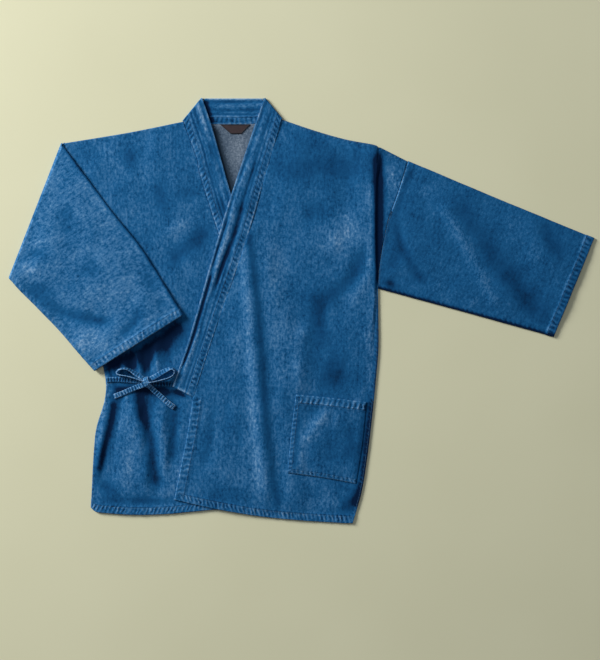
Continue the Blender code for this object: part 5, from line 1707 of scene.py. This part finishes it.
def build_denim():
    """Washed indigo twill: speckle, warp streaks, faded patches, roped hems and worn edges, with the painted
    light and shade that the panels' marks give it.
    """
    made = Surface("washed_denim", roughness=0.9, specular=0.08)
    parts = made.noises(DENIM_NOISES)
    parts["ribs"] = made.twill()
    parts["fade"] = made.number("fade")
    shown = made.number("roping")
    along, away = made.split(made.node("UVMap", {}, uv_map="seam"))
    turn = made.math("MULTIPLY_ADD", along, 2 * np.pi, made.product(parts["wander"], ROPE_WANDER))
    wave = made.math("SINE", turn)
    strong = made.math("MULTIPLY_ADD", parts["strength"], *ROPE_STRENGTH)
    inside, deep, beyond, edge_only = (
        made.step(away, *places) for places in (SEAM_INSIDE, SEAM_DEEP, SEAM_BEYOND, SEAM_LUMPS)
    )
    reach = made.total((made.product(inside, deep), 1.0), (beyond, ROPE_BEYOND))
    parts["rope"] = made.product(reach, shown, strong, wave)
    parts["groove"] = made.product(made.bell(away, *SEAM_GROOVE), shown)
    parts["lip"] = made.product(made.bell(away, *SEAM_LIP), shown)
    parts["lumps"] = made.product(wave, edge_only, shown)
    parts["turned"] = made.product(inside, shown)
    contrast = made.node("MapRange", {"Value": parts["fade"], **GRAIN_CONTRAST})
    grain = made.mixed(parts, GRAIN_WEIGHTS)
    parts["grain"] = made.product(grain, made.math("MULTIPLY_ADD", grain, GRAIN_SOFTENING, 1.0), contrast)
    made.colour(made.mixed(parts, DENIM_TONE), DENIM_SHADES)
    made.bump(made.mixed(parts, WEAVE_RELIEF), *WEAVE_BUMP)
    made.bump(made.mixed(parts, ROPE_RELIEF), *ROPE_BUMP)
    roughness = made.math("MULTIPLY_ADD", parts["fleck"], *FLECK_ROUGHNESS, clamp=True)
    made.put(made.shader["Roughness"], roughness)
    return made.material


def build_reverse():
    """The greyer inner side, where the undyed weft shows."""
    made = Surface("denim_reverse", roughness=0.92, specular=0.2)
    parts = made.noises(REVERSE_NOISES)
    parts["ribs"] = made.twill()
    parts["fade"] = made.number("fade")
    made.colour(made.mixed(parts, REVERSE_TONE), REVERSE_SHADES)
    made.bump(made.mixed(parts, REVERSE_RELIEF), *REVERSE_BUMP)
    return made.material


def build_label_cloth():
    """Plain dark satin ribbon with a darker folded edge."""
    made = Surface("label_cloth", roughness=0.6, specular=0.35)
    parts = made.noises(LABEL_NOISES)
    parts["fade"] = made.number("fade")
    made.colour(made.mixed(parts, LABEL_TONE), LABEL_SHADES, middle=LABEL_MIDDLE)
    made.bump(parts["fine"], *LABEL_BUMP)
    return made.material


def speckled(made, scale, detail, shades):
    """Soft specks of two shades, by the place on the object. That place is returned too."""
    place = made.node("TexCoord", {}, output="Object")
    noise = made.node("TexNoise", {"Vector": place, "Scale": scale, "Detail": detail}, output="Fac")
    return made.ramp(noise, shades), place


def build_thread():
    made = Surface("thread", roughness=0.7, specular=0.3)
    shade = speckled(made, scale=900.0, detail=1.0, shades=THREAD_SHADES)[0]
    made.put(made.shader["Base Color"], shade)
    return made.material


def build_floor():
    """A wide pale floor, darker only near the key lamp's foot."""
    made = Surface("pale_floor", roughness=0.75, specular=0.2)
    shade, place = speckled(made, scale=3.0, detail=2.0, shades=FLOOR_SHADES)
    foot = (KEY_PLACE[0], KEY_PLACE[1], 0.0)
    away = made.node("VectorMath", {0: place, 1: foot}, output="Value", operation="DISTANCE")
    near = made.node("MapRange", {"Value": away, 1: FOOT_REACH[0], 2: FOOT_REACH[1]})
    made.put(made.shader["Base Color"], made.node("MixRGB", {0: near, 1: shade, 2: FOOT_COLOUR}))
    mesh = bpy.data.meshes.new("floor")
    corners = [(x * FLOOR_REACH, y * FLOOR_REACH, 0.0) for x, y in ((-1, -1), (1, -1), (1, 1), (-1, 1))]
    mesh.from_pydata(corners, [], [(0, 1, 2, 3)])
    mesh.materials.append(made.material)
    floor = bpy.data.objects.new("floor", mesh)
    floor.location.z = -FLOOR_DROP
    bpy.context.scene.collection.objects.link(floor)


def area_light(name, place, target, size, energy, colour):
    data = bpy.data.lights.new(name, "AREA")
    data.shape = "DISK"
    data.size = size
    data.energy = energy
    data.color = colour
    made = bpy.data.objects.new(name, data)
    made.location = place
    made.rotation_euler = (Vector(target) - Vector(place)).to_track_quat("-Z", "Y").to_euler()
    bpy.context.scene.collection.objects.link(made)


def build_stage():
    """Floor, soft light from the upper left, and a camera straight above."""
    scene = bpy.context.scene
    build_floor()
    for lamp in LAMPS:
        area_light(*lamp)
    data = bpy.data.cameras.new("camera")
    data.sensor_fit = "VERTICAL"
    data.sensor_height = SENSOR_HEIGHT
    data.lens = 0.5 * SENSOR_HEIGHT * (CAMERA_HEIGHT - CLOTH_LEVEL) / (PHOTO_MIDDLE[1] * PIXEL)
    camera = bpy.data.objects.new("camera", data)
    camera.location = SHIFT + np.array((*from_photo(*PHOTO_MIDDLE), CAMERA_HEIGHT))
    scene.collection.objects.link(camera)
    scene.camera = camera
    scene.world = bpy.data.worlds.new("studio")
    scene.world.use_nodes = True
    background = scene.world.node_tree.nodes["Background"].inputs
    background[0].default_value = SKY_COLOUR
    background[1].default_value = SKY_STRENGTH
    scene.view_settings.view_transform = "Standard"
    scene.view_settings.look = "None"


low_corner, high_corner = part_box("neck_label")
SHIFT = np.array((low_corner.x - LABEL_TOP[0][0], high_corner.y - LABEL_TOP[0][1], 0.0))
SOLID = {node: solid_tree(node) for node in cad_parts}
SHELLS = {}
DENIM = build_denim()
REVERSE = build_reverse()
LABEL = build_label_cloth()
THREAD = build_thread()

build_back()
build_collar_neck()
build_front_right()
lines = (BAND_RIGHT_OUTER, BAND_RIGHT_INNER)
below = trees("back", "collar_neck")
build_band("collar_right", lines, below, 1.0)
build_front_left()
lines = (BAND_LEFT_OUTER, BAND_LEFT_INNER)
below = trees("back", "front_right", "collar_right", "collar_neck")
build_band("collar_left", lines, below, -1.0)
build_sleeve_left()
build_sleeve_right()
build_pocket()
build_label()
knot = build_knot()
below = trees("back", "front_right")
for node, places in TIES.items():
    piece, length = build_strap(node, places, below)
    if node.endswith("strap"):
        below += trees(node)

stitches("body")
stitches("sleeves")
stitches("collar")
stitches("pocket")
stitches("ties", pitch=TIE_STITCH_PITCH, radius=TIE_STITCH_RADIUS)

build_stage()
